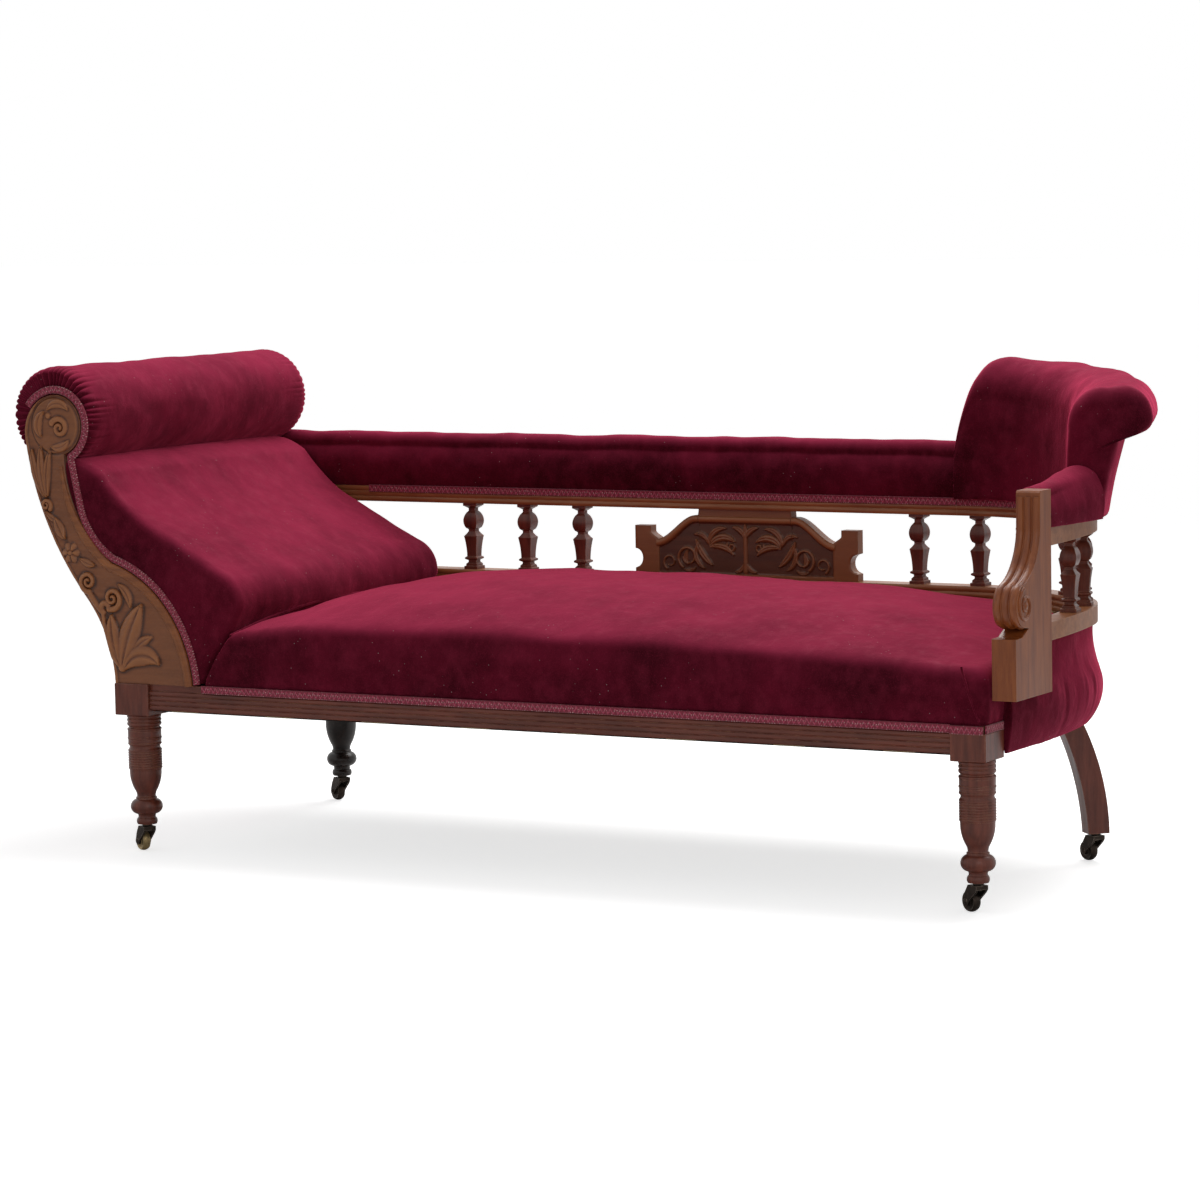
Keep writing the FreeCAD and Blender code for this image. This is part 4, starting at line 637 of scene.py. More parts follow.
@dataclass(frozen=True)
class Braid:
    """Gimp braid: crimson scrolled cords with pale dots, on a UV map in metres along and across."""

    name: str
    ground: Colour = (0.24, 0.016, 0.040)
    cord: Colour = (0.50, 0.060, 0.120)
    dot: Colour = (0.78, 0.42, 0.42)
    pitch: float = 0.0085

    def make(self) -> Any:
        """Builds the material: a wave along the ribbon makes the scrolls, and dots sit at each turn."""
        material, graph, shader, _ = started(self.name)
        along = graph.node("UVMap", uv_map="along").outputs[0]
        parts = graph.node("SeparateXYZ", {0: along})
        turn = graph.times(parts.outputs[0], math.tau / self.pitch)
        wave = graph.times(graph.math("SINE", turn), 0.0032)
        off = graph.math("ABSOLUTE", graph.math("SUBTRACT", parts.outputs[1], wave))
        cord = graph.ramp(off, 0.0021, 0.0009)
        grid = graph.node("CombineXYZ", {0: graph.times(parts.outputs[0], 2 / self.pitch),
                                       1: graph.times(parts.outputs[1], 150.0)}).outputs[0]
        cell = graph.node("TexVoronoi", {"Vector": grid, "Scale": 1.0, "Randomness": 0.25})
        dots = graph.ramp(cell.outputs["Distance"], 0.24, 0.12)
        colour = graph.mix(cord, self.ground, self.cord)
        dotted = graph.mix(graph.times(dots, 0.8), colour, self.dot)
        graph.link(dotted, shader.inputs["Base Color"])
        shader.inputs["Roughness"].default_value = 0.8
        shader.inputs["Sheen Weight"].default_value = 0.3
        height = graph.math("ADD", cord, graph.times(dots, 0.6))
        bumped(graph, shader, height, 0.9, 0.0012)
        return material


@dataclass(frozen=True)
class Woven:
    """Plain woven cloth: a thread height, slubs in its colour and slow stains."""

    name: str
    colour: Colour
    slub: Colour
    threads: float = 900.0

    def make(self) -> Any:
        """Builds the material."""
        material, graph, shader, place = started(self.name)
        weave = placed_group(graph, weave_group, {"Vector": place, "Threads": self.threads * math.tau})
        stained = graph.mix(graph.noise(place, 9.0, 4.0), self.colour, self.slub)
        colour = graph.mix(graph.ramp(weave.outputs["Slub"], 0.4, 0.7), stained, self.slub)
        graph.link(colour, shader.inputs["Base Color"])
        rough = graph.ramp(weave.outputs["Slub"], 0.0, 1.0, 0.8, 0.95)
        graph.link(rough, shader.inputs["Roughness"])
        bumped(graph, shader, weave.outputs["Height"], 0.4, 0.0005)
        return material


@dataclass(frozen=True)
class Metal:
    """Old metal: a brown skin, bright worn edges and pits."""

    name: str
    skin: Colour
    bright: Colour
    metallic: float = 0.9
    rough: float = 0.5

    def make(self) -> Any:
        """Builds the material."""
        material, graph, shader, place = started(self.name)
        wear = placed_group(graph, wear_group, {"Vector": place, "Radius": 0.0012, "Spread": 1.0})
        pits = graph.noise(place, 420.0, 5.0, 0.7)
        stained = graph.mix(graph.ramp(graph.noise(place, 70.0, 4.0), 0.4, 0.65), self.skin,
                            tuple(0.55 * value for value in self.skin))
        colour = graph.mix(wear.outputs["Worn"], stained, self.bright)
        graph.link(colour, shader.inputs["Base Color"])
        rough = graph.ramp(pits, 0.3, 0.7, self.rough - 0.12, self.rough + 0.18)
        graph.link(rough, shader.inputs["Roughness"])
        shader.inputs["Metallic"].default_value = self.metallic
        bumped(graph, shader, pits, 0.35, 0.0004)
        return material


MAHOGANY_TONES: tuple[Colour, ...] = ((0.095, 0.020, 0.011), (0.200, 0.046, 0.025), (0.46, 0.22, 0.13))
UPRIGHT_GRAIN: Colour = (10.0, 1.0, 0.1)


class Finish(Enum):
    """The couch's finishes by name."""

    MAHOGANY = Wood("mahogany", *MAHOGANY_TONES)
    UPRIGHT = Wood("mahogany_upright", *MAHOGANY_TONES, along=UPRIGHT_GRAIN)
    CARVED = Wood("carved_mahogany", (0.140, 0.040, 0.016), (0.235, 0.074, 0.027), (0.42, 0.155, 0.050),
                  spread=0.25, carved=True)
    RAIL = Wood("polished_rail", (0.240, 0.076, 0.022), (0.400, 0.145, 0.048), (0.55, 0.29, 0.14))
    HONEY = Wood("honey_moulding", (0.20, 0.055, 0.013), (0.36, 0.115, 0.028), (0.52, 0.24, 0.08),
                 spread=0.3)
    POST = Wood("honey_post", (0.20, 0.046, 0.010), (0.33, 0.090, 0.020), (0.50, 0.22, 0.07),
                spread=0.4, along=UPRIGHT_GRAIN)
    # painted shade: a near-black copy of the mahogany for the back left leg, which stands in shadow
    SHADOW_LEG = Wood("shadow_dark_leg", (0.010, 0.006, 0.005), (0.026, 0.014, 0.010), (0.12, 0.06, 0.035),
                 spread=0.5)
    TIMBER = Wood("sawn_timber", (0.30, 0.18, 0.09), (0.46, 0.31, 0.17), (0.52, 0.38, 0.24),
                  rough=0.7, coat=0.0)
    VELVET = Velvet("crimson_velvet")
    BRAID = Braid("gimp_braid")
    DUST = Woven("black_cambric", (0.022, 0.021, 0.021), (0.060, 0.056, 0.052), 700.0)
    WEBBING = Woven("jute_webbing", (0.36, 0.25, 0.13), (0.50, 0.38, 0.22), 320.0)
    CANVAS = Woven("hessian", (0.34, 0.24, 0.13), (0.50, 0.38, 0.23), 420.0)
    STEEL = Metal("spring_steel", (0.25, 0.23, 0.21), (0.55, 0.52, 0.48))
    IRON = Metal("browned_iron", (0.055, 0.040, 0.032), (0.38, 0.32, 0.26))
    BRASS = Metal("worn_brass", (0.50, 0.36, 0.17), (0.80, 0.66, 0.42), 0.7, 0.42)

    def material(self) -> Any:
        """Gives the finish's material, which is built the first time."""
        found = bpy.data.materials.get(self.value.name)
        return found if found is not None else self.value.make()


def inset_ends(rings: Points, first: float, last: float, steps: int = 6) -> Points:
    """Rounds a loft's ends: extra rings shrink to the ring's middle as a quarter circle comes round.

    Args:
        rings: an array of rings, points and three numbers.
        first, last: the radius of the rounding at each end in millimetres, or 0 for none.
        steps: how many rings each rounding has.

    Returns:
        The rings with the extra ones before and after them.
    """
    def cap(ring: Points, outward: Points, radius: float) -> Points:
        """Gives the extra rings of one end, from its ring outwards."""
        middle = ring.mean(0)
        arm = ring - middle
        reach = np.linalg.norm(arm, axis=1, keepdims=True)
        turn = np.linspace(0, math.pi / 2, steps + 1)[1:]
        shrink = np.concatenate([1 - radius * (1 - np.cos(turn))[:, None, None] / reach.mean(),
                                 np.linspace(1 - radius / reach.mean(), 0.06, 5)[1:, None, None]])
        out = np.concatenate([np.sin(turn), np.ones(4)])[:, None, None] * radius * outward
        return middle + arm * shrink + out
    parts = [rings]
    if first:
        way = rings[0].mean(0) - rings[1].mean(0)
        parts.insert(0, cap(rings[0], way / np.linalg.norm(way), first)[::-1])
    if last:
        way = rings[-1].mean(0) - rings[-2].mean(0)
        parts.append(cap(rings[-1], way / np.linalg.norm(way), last))
    return np.concatenate(parts)


def swelled(rings: Points, amount: Points) -> Points:
    """Moves each ring's points away from the ring's middle by an amount for each point."""
    arm = rings - rings.mean(1, keepdims=True)
    return rings + arm / np.maximum(np.linalg.norm(arm, axis=2, keepdims=True), 1e-6) * amount[..., None]


def normals_toward(line: Points, way: tuple[float, float]) -> Points:
    """Gives a plane line's normals, on the side where the middle one points more or less that way."""
    ahead = np.gradient(line, axis=0)
    ahead /= np.linalg.norm(ahead, axis=1, keepdims=True)
    normals = np.stack([ahead[:, 1], -ahead[:, 0]], -1)
    return normals if normals[len(line) // 2] @ np.array(way) > 0 else -normals


@dataclass(frozen=True)
class Seat:
    """The domed, sprung seat: sides, a rolled edge and a crowned top, sheared along the head's seam."""

    left: float = -565.0
    lean: float = 0.594
    base: float = 279.5
    front: float = -352.0
    back: float = 273.0
    post_x: float = 801.5
    inset: float = -30.0
    roll: float = 26.0
    spine: tuple[float, float, float] = (-250.0, 470.0, -35.0)
    crown_left: float = -669.5
    crown_length: float = 1449.5
    edge_height: float = 81.5
    edge_rise: float = 20.0
    crown: float = 66.0
    least_crown: float = 19.8
    seam_drop: float = 12.0

    def perimeter(self, shrink: float = 0.0, left: float | None = None) -> Points:
        """Gives the plan outline; its front and back runs have the same X places.

        Args:
            shrink: how far the outline is drawn in.
            left: the left end, or none for the seam's foot.

        Returns:
            Rows of X and Y, anticlockwise from the front.
        """
        low, high, _ = self.spine
        left = (self.left if left is None else left) + shrink
        along = np.linspace(low, high, 110)
        front = np.stack([along, np.full(len(along), self.front + shrink)], -1)
        run = np.linspace(14, PLAN.end_length, 90)
        bow = PLAN.place(run, self.inset - shrink, 0.0)[:, :2]
        near, side = self.front + shrink, self.post_x - shrink
        corner = np.array([[high, near], [self.post_x - 9 - shrink, near],
                           [side, self.front + 10 + shrink], [side, -214.0],
                           [self.post_x - 14 - shrink, -200.0]])
        right = resample(np.concatenate([corner, bow, [[high, self.back - shrink]]]), 170)
        back = np.stack([along[::-1], np.full(len(along), self.back - shrink)], -1)
        end = np.array([[low, self.back - shrink], [left, self.back - shrink], [left, near], [low, near]])
        return np.concatenate([front, right[1:-1], back, resample(end, 130)[1:-1]])

    def top(self, x: Points, y: Points) -> Points:
        """Gives the top's height: an edge line that rises mid-way, and a crown that fades outwards."""
        share = np.clip((x - self.crown_left) / self.crown_length, 0, 1)
        edge = self.base + self.edge_height + self.edge_rise * np.sin(math.pi * share ** 0.8)
        crown = np.maximum(self.crown * (1 - np.abs(2 * share - 1.05) ** 4.2), self.least_crown)
        across = np.clip(1 - np.abs((y + 25) / 335) ** 2.4, 0, 1)
        return edge + crown * across

    def build(self) -> None:
        """Builds the seat, its seam welts and its tack-line pulls.

        Each ring is the outline drawn towards the spine; side rows rise with a slight fullness, a quarter
        circle rolls the edge over, and the rest follow the top's height until they close on the spine.
        """
        outline = self.perimeter()
        low, high, middle = self.spine
        spine = np.stack([np.clip(outline[:, 0], low, high), np.full(len(outline), middle)], -1)
        arm = spine - outline
        reach = np.linalg.norm(arm, axis=1, keepdims=True)
        inward = arm / reach
        rings = []
        for share in (1.0, 0.75, 0.5, 0.25, 0.06, 0.015):
            rings.append(np.column_stack([outline + arm * share, np.full(len(outline), self.base)]))
        edge = self.top(*(outline + inward * self.roll).T)
        for share in np.linspace(0.04, 1, 16):
            fullness = 3.5 * math.sin(math.pi * share) - 2.0 * (1 - share) ** 6
            height = self.base + share * (edge - self.roll - self.base)
            rings.append(np.column_stack([outline - inward * fullness, height]))
        for turn in np.linspace(0, math.pi / 2, 10)[1:]:
            place = outline + inward * self.roll * (1 - math.cos(turn))
            height = self.top(*place.T) + (edge - self.top(*place.T)) * math.cos(turn)
            rings.append(np.column_stack([place, height - self.roll * (1 - math.sin(turn))]))
        for share in np.linspace(0, 1, 40)[1:]:
            rolled = inward * self.roll
            place = outline + rolled + (spine - outline - rolled) * share
            rings.append(np.column_stack([place, self.top(*place.T)]))
        rings = np.array(rings)
        lean = smooth_step(-rings[..., 0], -self.spine[0] - 40, -self.left - 20)
        rings[..., 0] += self.lean * (rings[..., 2] - self.base) * lean
        side = np.exp(-((rings[..., 2] - self.base) / 22) ** 2) * (rings[..., 2] > self.base + 2)
        along = rings[..., 0] + rings[..., 1]
        pulls = side * (1.2 * np.sin(along * math.tau / 31 + 2 * wander(rings, 160, 3)))
        upper = smooth_step(rings[..., 2], 330, 400)
        rings[..., :2] += inward[None] * pulls[..., None]
        rings[..., 2] += upper * (2.2 * wander(rings, 210, 5) + 0.9 * wander(rings, 70, 6))
        shell = Shell("seat_cushion")
        shell.loft(rings, poles=False)
        piece = shell.build(Finish.VELVET.material(), "velvet", ["seat_pad"], weld=0.4)
        self.welts()

    def welts(self) -> None:
        """Builds the thin welts: along the head's seam and down the seat's front right corner."""
        shell = Shell("seat_welts")
        y = np.linspace(-346, 268, 60)
        near_top = self.top(np.full(len(y), self.left + 70), y) - self.seam_drop
        x = self.left + self.lean * (near_top - self.base) + 3
        seam = np.stack([x, y, self.top(x, y) - self.seam_drop], -1)
        shell.tube(seam, 3.0)
        fall = np.linspace(0, 1, 16)
        corner = np.stack([766 + 27 * fall ** 1.2, np.full(len(fall), -353.5), 366 - 80 * fall], -1)
        shell.tube(corner, 1.8, upward=(0.0, 1.0, 0.0))
        shell.build(Finish.VELVET.material(), "velvet")


@dataclass(frozen=True)
class Head:
    """The sloping scroll head: backrest, bolster with its gathers, and the outside cover."""

    front: float = -349.0
    back: float = 275.0
    bolster_centre: tuple[float, float] = (-850.0, 712.0)
    bolster_radius: float = 79.0
    bolster_back: float = 297.0
    gathers: int = 46
    end_depth: float = 24.0
    edge_roll: float = 16.0
    edge_drop: float = 14.0
    fullness: float = 9.0
    cover_front: float = -333.5
    cover_back: float = 281.5
    slope: tuple = ((-822, 642), (-790, 635), (-760, 620), (-727.5, 582, "arc"), (-687.5, 550),
                    (-639.5, 522), (-581.5, 491), (-532.5, 466), (-498.5, 437, "arc"), (-493.5, 407),
                    (-503.5, 391), (-568.5, 281.5))
    webs: tuple = ((-735, 300), (-749.5, 459), (-811.5, 541), (-839.5, 619))
    outside: tuple = ((-735, 279), (-748, 347, "arc"), (-790, 420), (-865, 545, "arc"), (-898, 640))

    def backrest(self) -> None:
        """Builds the backrest: the slope's section carried across, fuller mid-way, its edges rolled."""
        count = 120
        face = resample(rounded(traced(self.slope), 3, closed=False), count)
        behind = resample(traced(self.webs), count)
        out = normals_toward(face, (0, 1))
        span = self.back - self.front
        side = np.linspace(0, self.edge_roll, 9)
        across = np.concatenate([side, np.linspace(24, span - 24, 70), span - side[::-1]])
        fade = np.sin(math.pi * np.linspace(0.03, 0.97, count)) ** 0.5
        rings = []
        for place in across:
            near = min(place, span - place, self.edge_roll) / self.edge_roll
            drop = self.edge_drop * (1 - math.sqrt(max(0.0, 1 - (1 - near) ** 2)))
            full = self.fullness * (1 - abs(2 * place / span - 1) ** 3)
            lift = (full * fade - drop)[:, None]
            rings.append(stood(np.concatenate([face + out * lift, behind]), self.front + place))
        rings = np.array(rings)
        wrinkle = 1.3 * wander(rings, 150, 11) + 0.6 * wander(rings, 48, 12)
        rings[:, 4:112] += stood(out[4:112], 0.0)[None] * wrinkle[:, 4:112, None]
        shell = Shell("backrest")
        shell.loft(rings, rungs=True)
        piece = shell.build(Finish.VELVET.material(), "velvet", ["backrest_pad"], sharp=60)

    def bolster(self) -> None:
        """Builds the bolster: a round roll whose ends are gathered in folds that fade along it.

        The radius follows a superellipse at each end; the folds are a cosine round the axis, deepest on
        the end face and dying out over about 70 mm.
        """
        turn = np.linspace(0, math.tau, 456, endpoint=False)
        length = self.bolster_back - self.front
        inner = np.linspace(0.04, 0.86, 16)
        roll = np.linspace(0, math.pi / 2, 14)
        middle = np.linspace(self.end_depth + 4, length - self.end_depth - 4, 70)
        turned = 0.86 + 0.14 * np.sin(roll[1:])
        share = np.concatenate([inner, turned, np.ones(len(middle)), turned[::-1], inner[::-1]])
        fronts = np.concatenate([2.0 * (1 - inner), self.end_depth * (1 - np.cos(roll[1:]))])
        depth = np.concatenate([fronts, middle, (length - fronts)[::-1]])
        near = np.minimum(depth, length - depth)
        front_side = depth < length / 2
        reach = 34 + 22 * np.sin(7 * turn + 1.0) * np.sin(3 * turn)
        fold = np.exp(-(near[:, None] / reach[None]) ** 2) * np.where(front_side, 1.0, 0.6)[:, None]
        uneven = 0.8 * np.sin(5 * turn) + 0.5 * np.sin(9 * turn)
        pattern = np.abs(np.cos(self.gathers / 2 * turn + uneven))
        pleat = (pattern ** 0.6 - 0.6)[None] * fold
        share = share[:, None]
        radius = self.bolster_radius * share + 2.8 * pleat * smooth_step(share, 0.15, 0.9)
        push = 4.5 * pleat * smooth_step(share, 0.1, 0.5) * (1 - smooth_step(near, 0, 30))[:, None]
        y = self.front + depth[:, None] + np.where(front_side, -1, 1)[:, None] * push + 3
        x = self.bolster_centre[0] + radius * np.cos(turn)
        z = self.bolster_centre[1] + radius * np.sin(turn)
        rings = np.stack([x, np.broadcast_to(y, x.shape), z], -1)
        soft = 1.6 * wander(rings, 170, 21) + 0.6 * wander(rings, 55, 22)
        rings = swelled(rings, soft * smooth_step(near, 8, 60)[:, None])
        shell = Shell("bolster")
        shell.loft(rings)
        piece = shell.build(Finish.VELVET.material(), "velvet", ["bolster_pad"], sharp=80)

    def cover(self) -> None:
        """Builds the outside cover: the outer edge's line moved out, a little full, carried across."""
        line = resample(traced(self.outside), 90)
        out = normals_toward(line, (-1, 0))
        y = np.linspace(self.cover_front, self.cover_back, 60)
        full = np.sin(math.pi * (y - self.cover_front) / (self.cover_back - self.cover_front)) ** 0.6
        lining = (line + out * 1.6)[::-1]
        rings = np.array([stood(np.concatenate([line + out * (4.0 + 3.0 * swell), lining]), place)
                          for place, swell in zip(y, full)])
        rings[:, :90, 0] -= 0.8 + 0.8 * wander(rings[:, :90], 120, 31)
        shell = Shell("outside_cover")
        shell.loft(rings, rungs=True)
        piece = shell.build(Finish.VELVET.material(), "velvet", ["head_outside_cover"], sharp=60)

    def build(self) -> None:
        """Builds the head's upholstery."""
        self.backrest()
        self.bolster()
        self.cover()


@dataclass(frozen=True)
class Back:
    """The padded back: the roll on the top rail, the arm pad, the raised wing and the skirt."""

    base: float = 555.5
    roll_left: float = -846.0
    roll_right: float = 474.0
    arm_end: float = 178.0
    wing_start: float = 179.5
    wing_edge: float = 87.0
    skirt_start: float = -83.0
    skirt_end: float = 1832.0
    wing_run: float = 179.0
    wing_height: float = 228.0
    ring: int = 96

    def section(self, outline: Sequence[tuple], soften: int = 2) -> Points:
        """Gives a section's outline, rounded a little and spaced evenly."""
        line = resample(traced(outline), 160, closed=True)
        return resample(rounded(line, soften), self.ring, closed=True)

    def back_roll(self) -> None:
        """Builds the roll along the back: one section carried along X between rounded ends."""
        shape = self.section([(322, 555.5), (326, 596, "arc"), (319, 631), (305, 648, "arc"), (284, 625),
                              (276, 592, "arc"), (286, 555.5)])
        x = np.linspace(self.roll_left + 14, self.roll_right - 2, 150)
        rings = np.stack([np.column_stack([np.full(self.ring, place), shape]) for place in x])
        rings = inset_ends(rings, 14, 2)
        rise = smooth_step(rings[..., 2], 560, 600)
        rings = swelled(rings, rise * (1.5 * wander(rings, 190, 41) + 0.7 * wander(rings, 50, 42)))
        shell = Shell("back_roll")
        shell.loft(rings)
        piece = shell.build(Finish.VELVET.material(), "velvet", ["back_pad"], sharp=70)

    def arm_shape(self, run: float) -> Points:
        """Gives the arm pad's section at a run, as offset and height: it rises and thickens."""
        share = run / self.wing_run
        top = 611 + 28 * share
        outer = 18 + 36 * share
        middle = (self.base + top) / 2
        return self.section([
            (outer - 1, self.base), (outer + 1, middle - 6, "arc"), (outer - 9, top - 16),
            (2 + outer / 4, top, "arc"), (-18, top - 18), (-22, middle, "arc"), (-18, self.base)])

    def wing_shape(self, run: float) -> Points:
        """Gives the wing's section at a run: a neck and a rolled top, both smaller at its left edge."""
        bend = PLAN.end_length - self.wing_run - self.wing_edge
        share = float(np.clip((run - self.wing_run) / bend, 0, 1))
        start = max(0.0, (run - PLAN.end_length + self.wing_edge) / self.wing_edge)
        rise = (self.wing_height - 30 * (1 - share)) * (1 - 0.615 * start ** 3.3)
        slim = 1 - 0.6 * start ** 2
        top = 555 + rise
        inner = -5 - 26 * share
        out = inner + (133 - 40 * share) * slim
        neck = inner + (71 - 14 * share) * slim
        return self.section([
            (neck - 18, self.base), (inner - 2, self.base), (inner - 4, self.base + 0.3 * rise, "arc"),
            (inner, top - 65 * slim), (inner + 14 * slim, top - 20 * slim, "arc"),
            (inner + (out - inner) / 2, top), (out - 9 * slim, top - 17 * slim, "arc"),
            (out, top - 42 * slim), (out - 6 * slim, top - 63 * slim, "arc"),
            (out - 22 * slim, top - 70 * slim),
            (neck + 12 * slim, top - 74 * slim), (neck - 1, self.base + 0.4 * rise, "arc"),
            (neck - 18, self.base)])

    def skirt_shape(self, run: float) -> Points:
        """Gives the skirt's section at a run: flat behind, pulled in over the lower rail's edge."""
        share = float(np.clip((run + 84) / 250, 0, 1))
        inner = -7.5
        hip = inner + 12 + 19 * share
        waist = inner + 6 + 13 * share
        return self.section([
            (inner, 232), (inner + 5 + 5 * share, 232), (hip, 266, "arc"), (hip - 4 * share, 324),
            (waist, 360, "arc"), (waist, 386.5), (inner, 386.5)], 1)

    def carried(self, name: str, shape: Callable[[float], Points], runs: Points, node: str,
                ends: tuple[float, float], seed: int, ripple: float) -> None:
        """Carries a changing section along the end's plan line.

        Args:
            name: the piece's name.
            shape: gives the section at a run.
            runs: the runs where sections stand.
            node: the CAD node that the piece replaces.
            ends: the rounding radius at each end.
            seed: chooses the fabric's wavering.
            ripple: the depth of its vertical pull marks in millimetres.
        """
        rings = np.stack([PLAN.place(run, *shape(run).T) for run in runs])
        rings = inset_ends(rings, *ends)
        rise = smooth_step(rings[..., 2] - rings[..., 2].min(), 4, 60)
        soft = rise * (1.7 * wander(rings, 170, seed) + 0.8 * wander(rings, 52, seed + 1))
        along = rings * np.array([1.0, 1.0, 0.12])
        soft += ripple * np.clip(wander(along, 26, seed + 2), 0, 2) * wander(rings, 190, seed + 3)
        rings = swelled(rings, soft)
        shell = Shell(name)
        shell.loft(rings)
        piece = shell.build(Finish.VELVET.material(), "velvet", [node], sharp=70)

    def build(self) -> None:
        """Builds the back's pads."""
        self.back_roll()
        self.carried("arm_cushion", self.arm_shape, np.linspace(13, self.arm_end, 34), "arm_pad", (12, 0),
                     51, 0.4)
        edge = PLAN.end_length - self.wing_edge
        wing_runs = np.concatenate([np.linspace(self.wing_start + 20, edge, 90),
                                    np.linspace(edge + 2, PLAN.end_length - 3, 40)])
        self.carried("wing", self.wing_shape, wing_runs, "wing_pad", (20, 3), 61, 0.5)
        self.carried("skirt", self.skirt_shape, np.linspace(self.skirt_start + 4, self.skirt_end, 420),
                     "skirt_pad", (4, 4), 71, 1.6)


@dataclass(frozen=True)
class Trim:
    """The gimp braid that covers the tacks, with a corded edge each side."""

    width: float = 12.5
    front_z: float = 274.6
    back_z: float = 550.7
    inner_edge: tuple = ((-805, 574), (-795, 540, "arc"), (-735, 474), (-691.5, 455, "arc"), (-650, 424),
                         (-602.5, 354, "arc"), (-584, 281))
    boss: tuple[float, float] = BOSS
    boss_radius: float = 50.0

    def ribbon(self, shell: Shell, path: Points, out: Points, across: Points) -> None:
        """Adds one ribbon: a flat band with a cord along each edge, and a UV map in metres.

        Args:
            shell: the piece that it joins.
            path: its middle line on what it is glued to, spaced evenly.
            out: the direction away from the ground at each point.
            across: the direction over the band at each point.
        """
        half = self.width / 2
        wide = np.array([-half, -half, -half + 0.6, -half + 1.6, -half + 2.6, -2.0, 0.0, 2.0, half - 2.6,
                         half - 1.6, half - 0.6, half, half])
        tall = np.array([0.0, 1.2, 2.2, 2.6, 1.7, 2.0, 1.5, 2.0, 1.7, 2.6, 2.2, 1.2, 0.0])
        steps = np.linalg.norm(np.diff(path, axis=0), axis=1)
        along = np.concatenate([[0], np.cumsum(steps)])
        lace = np.where(np.abs(wide) < 3, 0.45, 0.0)[None] * np.sin(along * math.tau / 8.5)[:, None]
        rings = path[:, None] + across[:, None] * wide[None, :, None]
        rings = rings + out[:, None] * (tall + lace)[..., None]
        uv = np.stack(np.broadcast_arrays(along[:, None] * MM, wide[None] * MM), -1)
        shell.loft(rings, uv)

    def straight(self, shell: Shell, start: Colour, end: Colour, out: Colour, across: Colour) -> None:
        """Adds a straight ribbon between two points."""
        count = max(int(np.linalg.norm(np.array(end) - start) / 2.1), 8)
        path = np.linspace(start, end, count)
        self.ribbon(shell, path, np.broadcast_to(np.array(out, float), path.shape),
                    np.broadcast_to(np.array(across, float), path.shape))

    def facing_line(self) -> Points:
        """Gives the braid's middle line beside the facing: round the boss, then down the inner edge."""
        half = self.width / 2 + 0.8
        turn = np.radians(np.linspace(150, -62, 90))
        clear = np.interp(np.degrees(turn), [-62, 12, 90, 120, 150], [1.2, 1.2, 1.2, 2.2, 5.5])
        ring = (np.array(self.boss)
                + (self.boss_radius + clear + half)[:, None] * np.stack([np.cos(turn), np.sin(turn)], -1))
        edge = resample(traced(self.inner_edge), 240)
        out = normals_toward(edge, (1, 0))
        moved = edge + out * half
        whole = np.concatenate([ring, moved[12:]])
        return rounded(resample(whole, 300), 2, closed=False)

    def build(self) -> None:
        """Builds every run of the braid as one piece."""
        shell = Shell("gimp_trim")
        low, back = self.front_z, self.back_z
        forward, upward = (0.0, -1.0, 0.0), (0.0, 0.0, 1.0)
        self.straight(shell, (-566, -352.3, low), (747, -352.3, low), forward, upward)
        self.straight(shell, (747.5, -354.6, low - 1), (800, -354.6, low - 1), forward, upward)
        self.straight(shell, (801.8, -351.5, low), (801.8, -288, low), (1, 0, 0), upward)
        self.straight(shell, (-639.5, 284.8, back), (474.9, 284.8, back), forward, upward)
        run = np.linspace(1, 690.5, 330)
        path = PLAN.place(run, -19.2, back)
        out = PLAN.place(run, -20.2, back) - path
        self.ribbon(shell, path, out, np.broadcast_to(np.array(upward), path.shape))
        line = resample(self.facing_line(), 420)
        path = stood(line, -349.3)
        across = stood(normals_toward(line, (-1, 0)), 0.0)
        self.ribbon(shell, path, np.broadcast_to(np.array(forward), path.shape), across)
        shell.build(Finish.BRAID.material(), "gimp", ["gimp_braid"])


@dataclass(frozen=True)
class Underside:
    """The thin black cloth tacked under the seat, sagging a little between its edges."""

    sag: float = 7.0
    thick: float = 0.5

    def build(self) -> None:
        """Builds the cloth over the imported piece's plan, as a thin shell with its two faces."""
        low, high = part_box("dust_cloth")
        left, right, front, back = (value / MM for value in (low.x, high.x, low.y, high.y))
        seat = Seat()
        outline = seat.perimeter(16.0, left - 16 + 2)
        outline = np.column_stack([np.clip(outline[:, 0], left + 2, right - 2),
                                   np.clip(outline[:, 1], front + 2, back - 2)])
        spine = np.stack([np.clip(outline[:, 0], seat.spine[0], seat.spine[1]),
                          np.full(len(outline), seat.spine[2])], -1)
        top = high.z / MM
        shares = np.concatenate([np.linspace(1, 0, 40), np.linspace(0, 1, 40)])
        faces = np.repeat([top - self.thick, top], 40)
        rings = []
        for share, face in zip(shares, faces):
            place = outline + (spine - outline) * share
            dip = self.sag * (1 - (1 - share) ** 2)
            rings.append(np.column_stack([place, np.full(len(place), face - dip)]))
        rings = np.array(rings)
        ripple = 0.7 * wander(rings * np.array([1.0, 1.0, 0.0]), 140, 81)
        rings[..., 2] -= (ripple + 0.7) * smooth_step(shares, 0, 0.3)[:, None]
        shell = Shell("bottom_cloth")
        shell.loft(rings, poles=False)
        piece = shell.build(Finish.DUST.material(), "dust_cloth", ["dust_cloth"], weld=0.02)


class Motif(Enum):
    """How a carved stroke's section is shaped."""

    CORD = "cord"
    LEAF = "leaf"
    GROOVE = "groove"


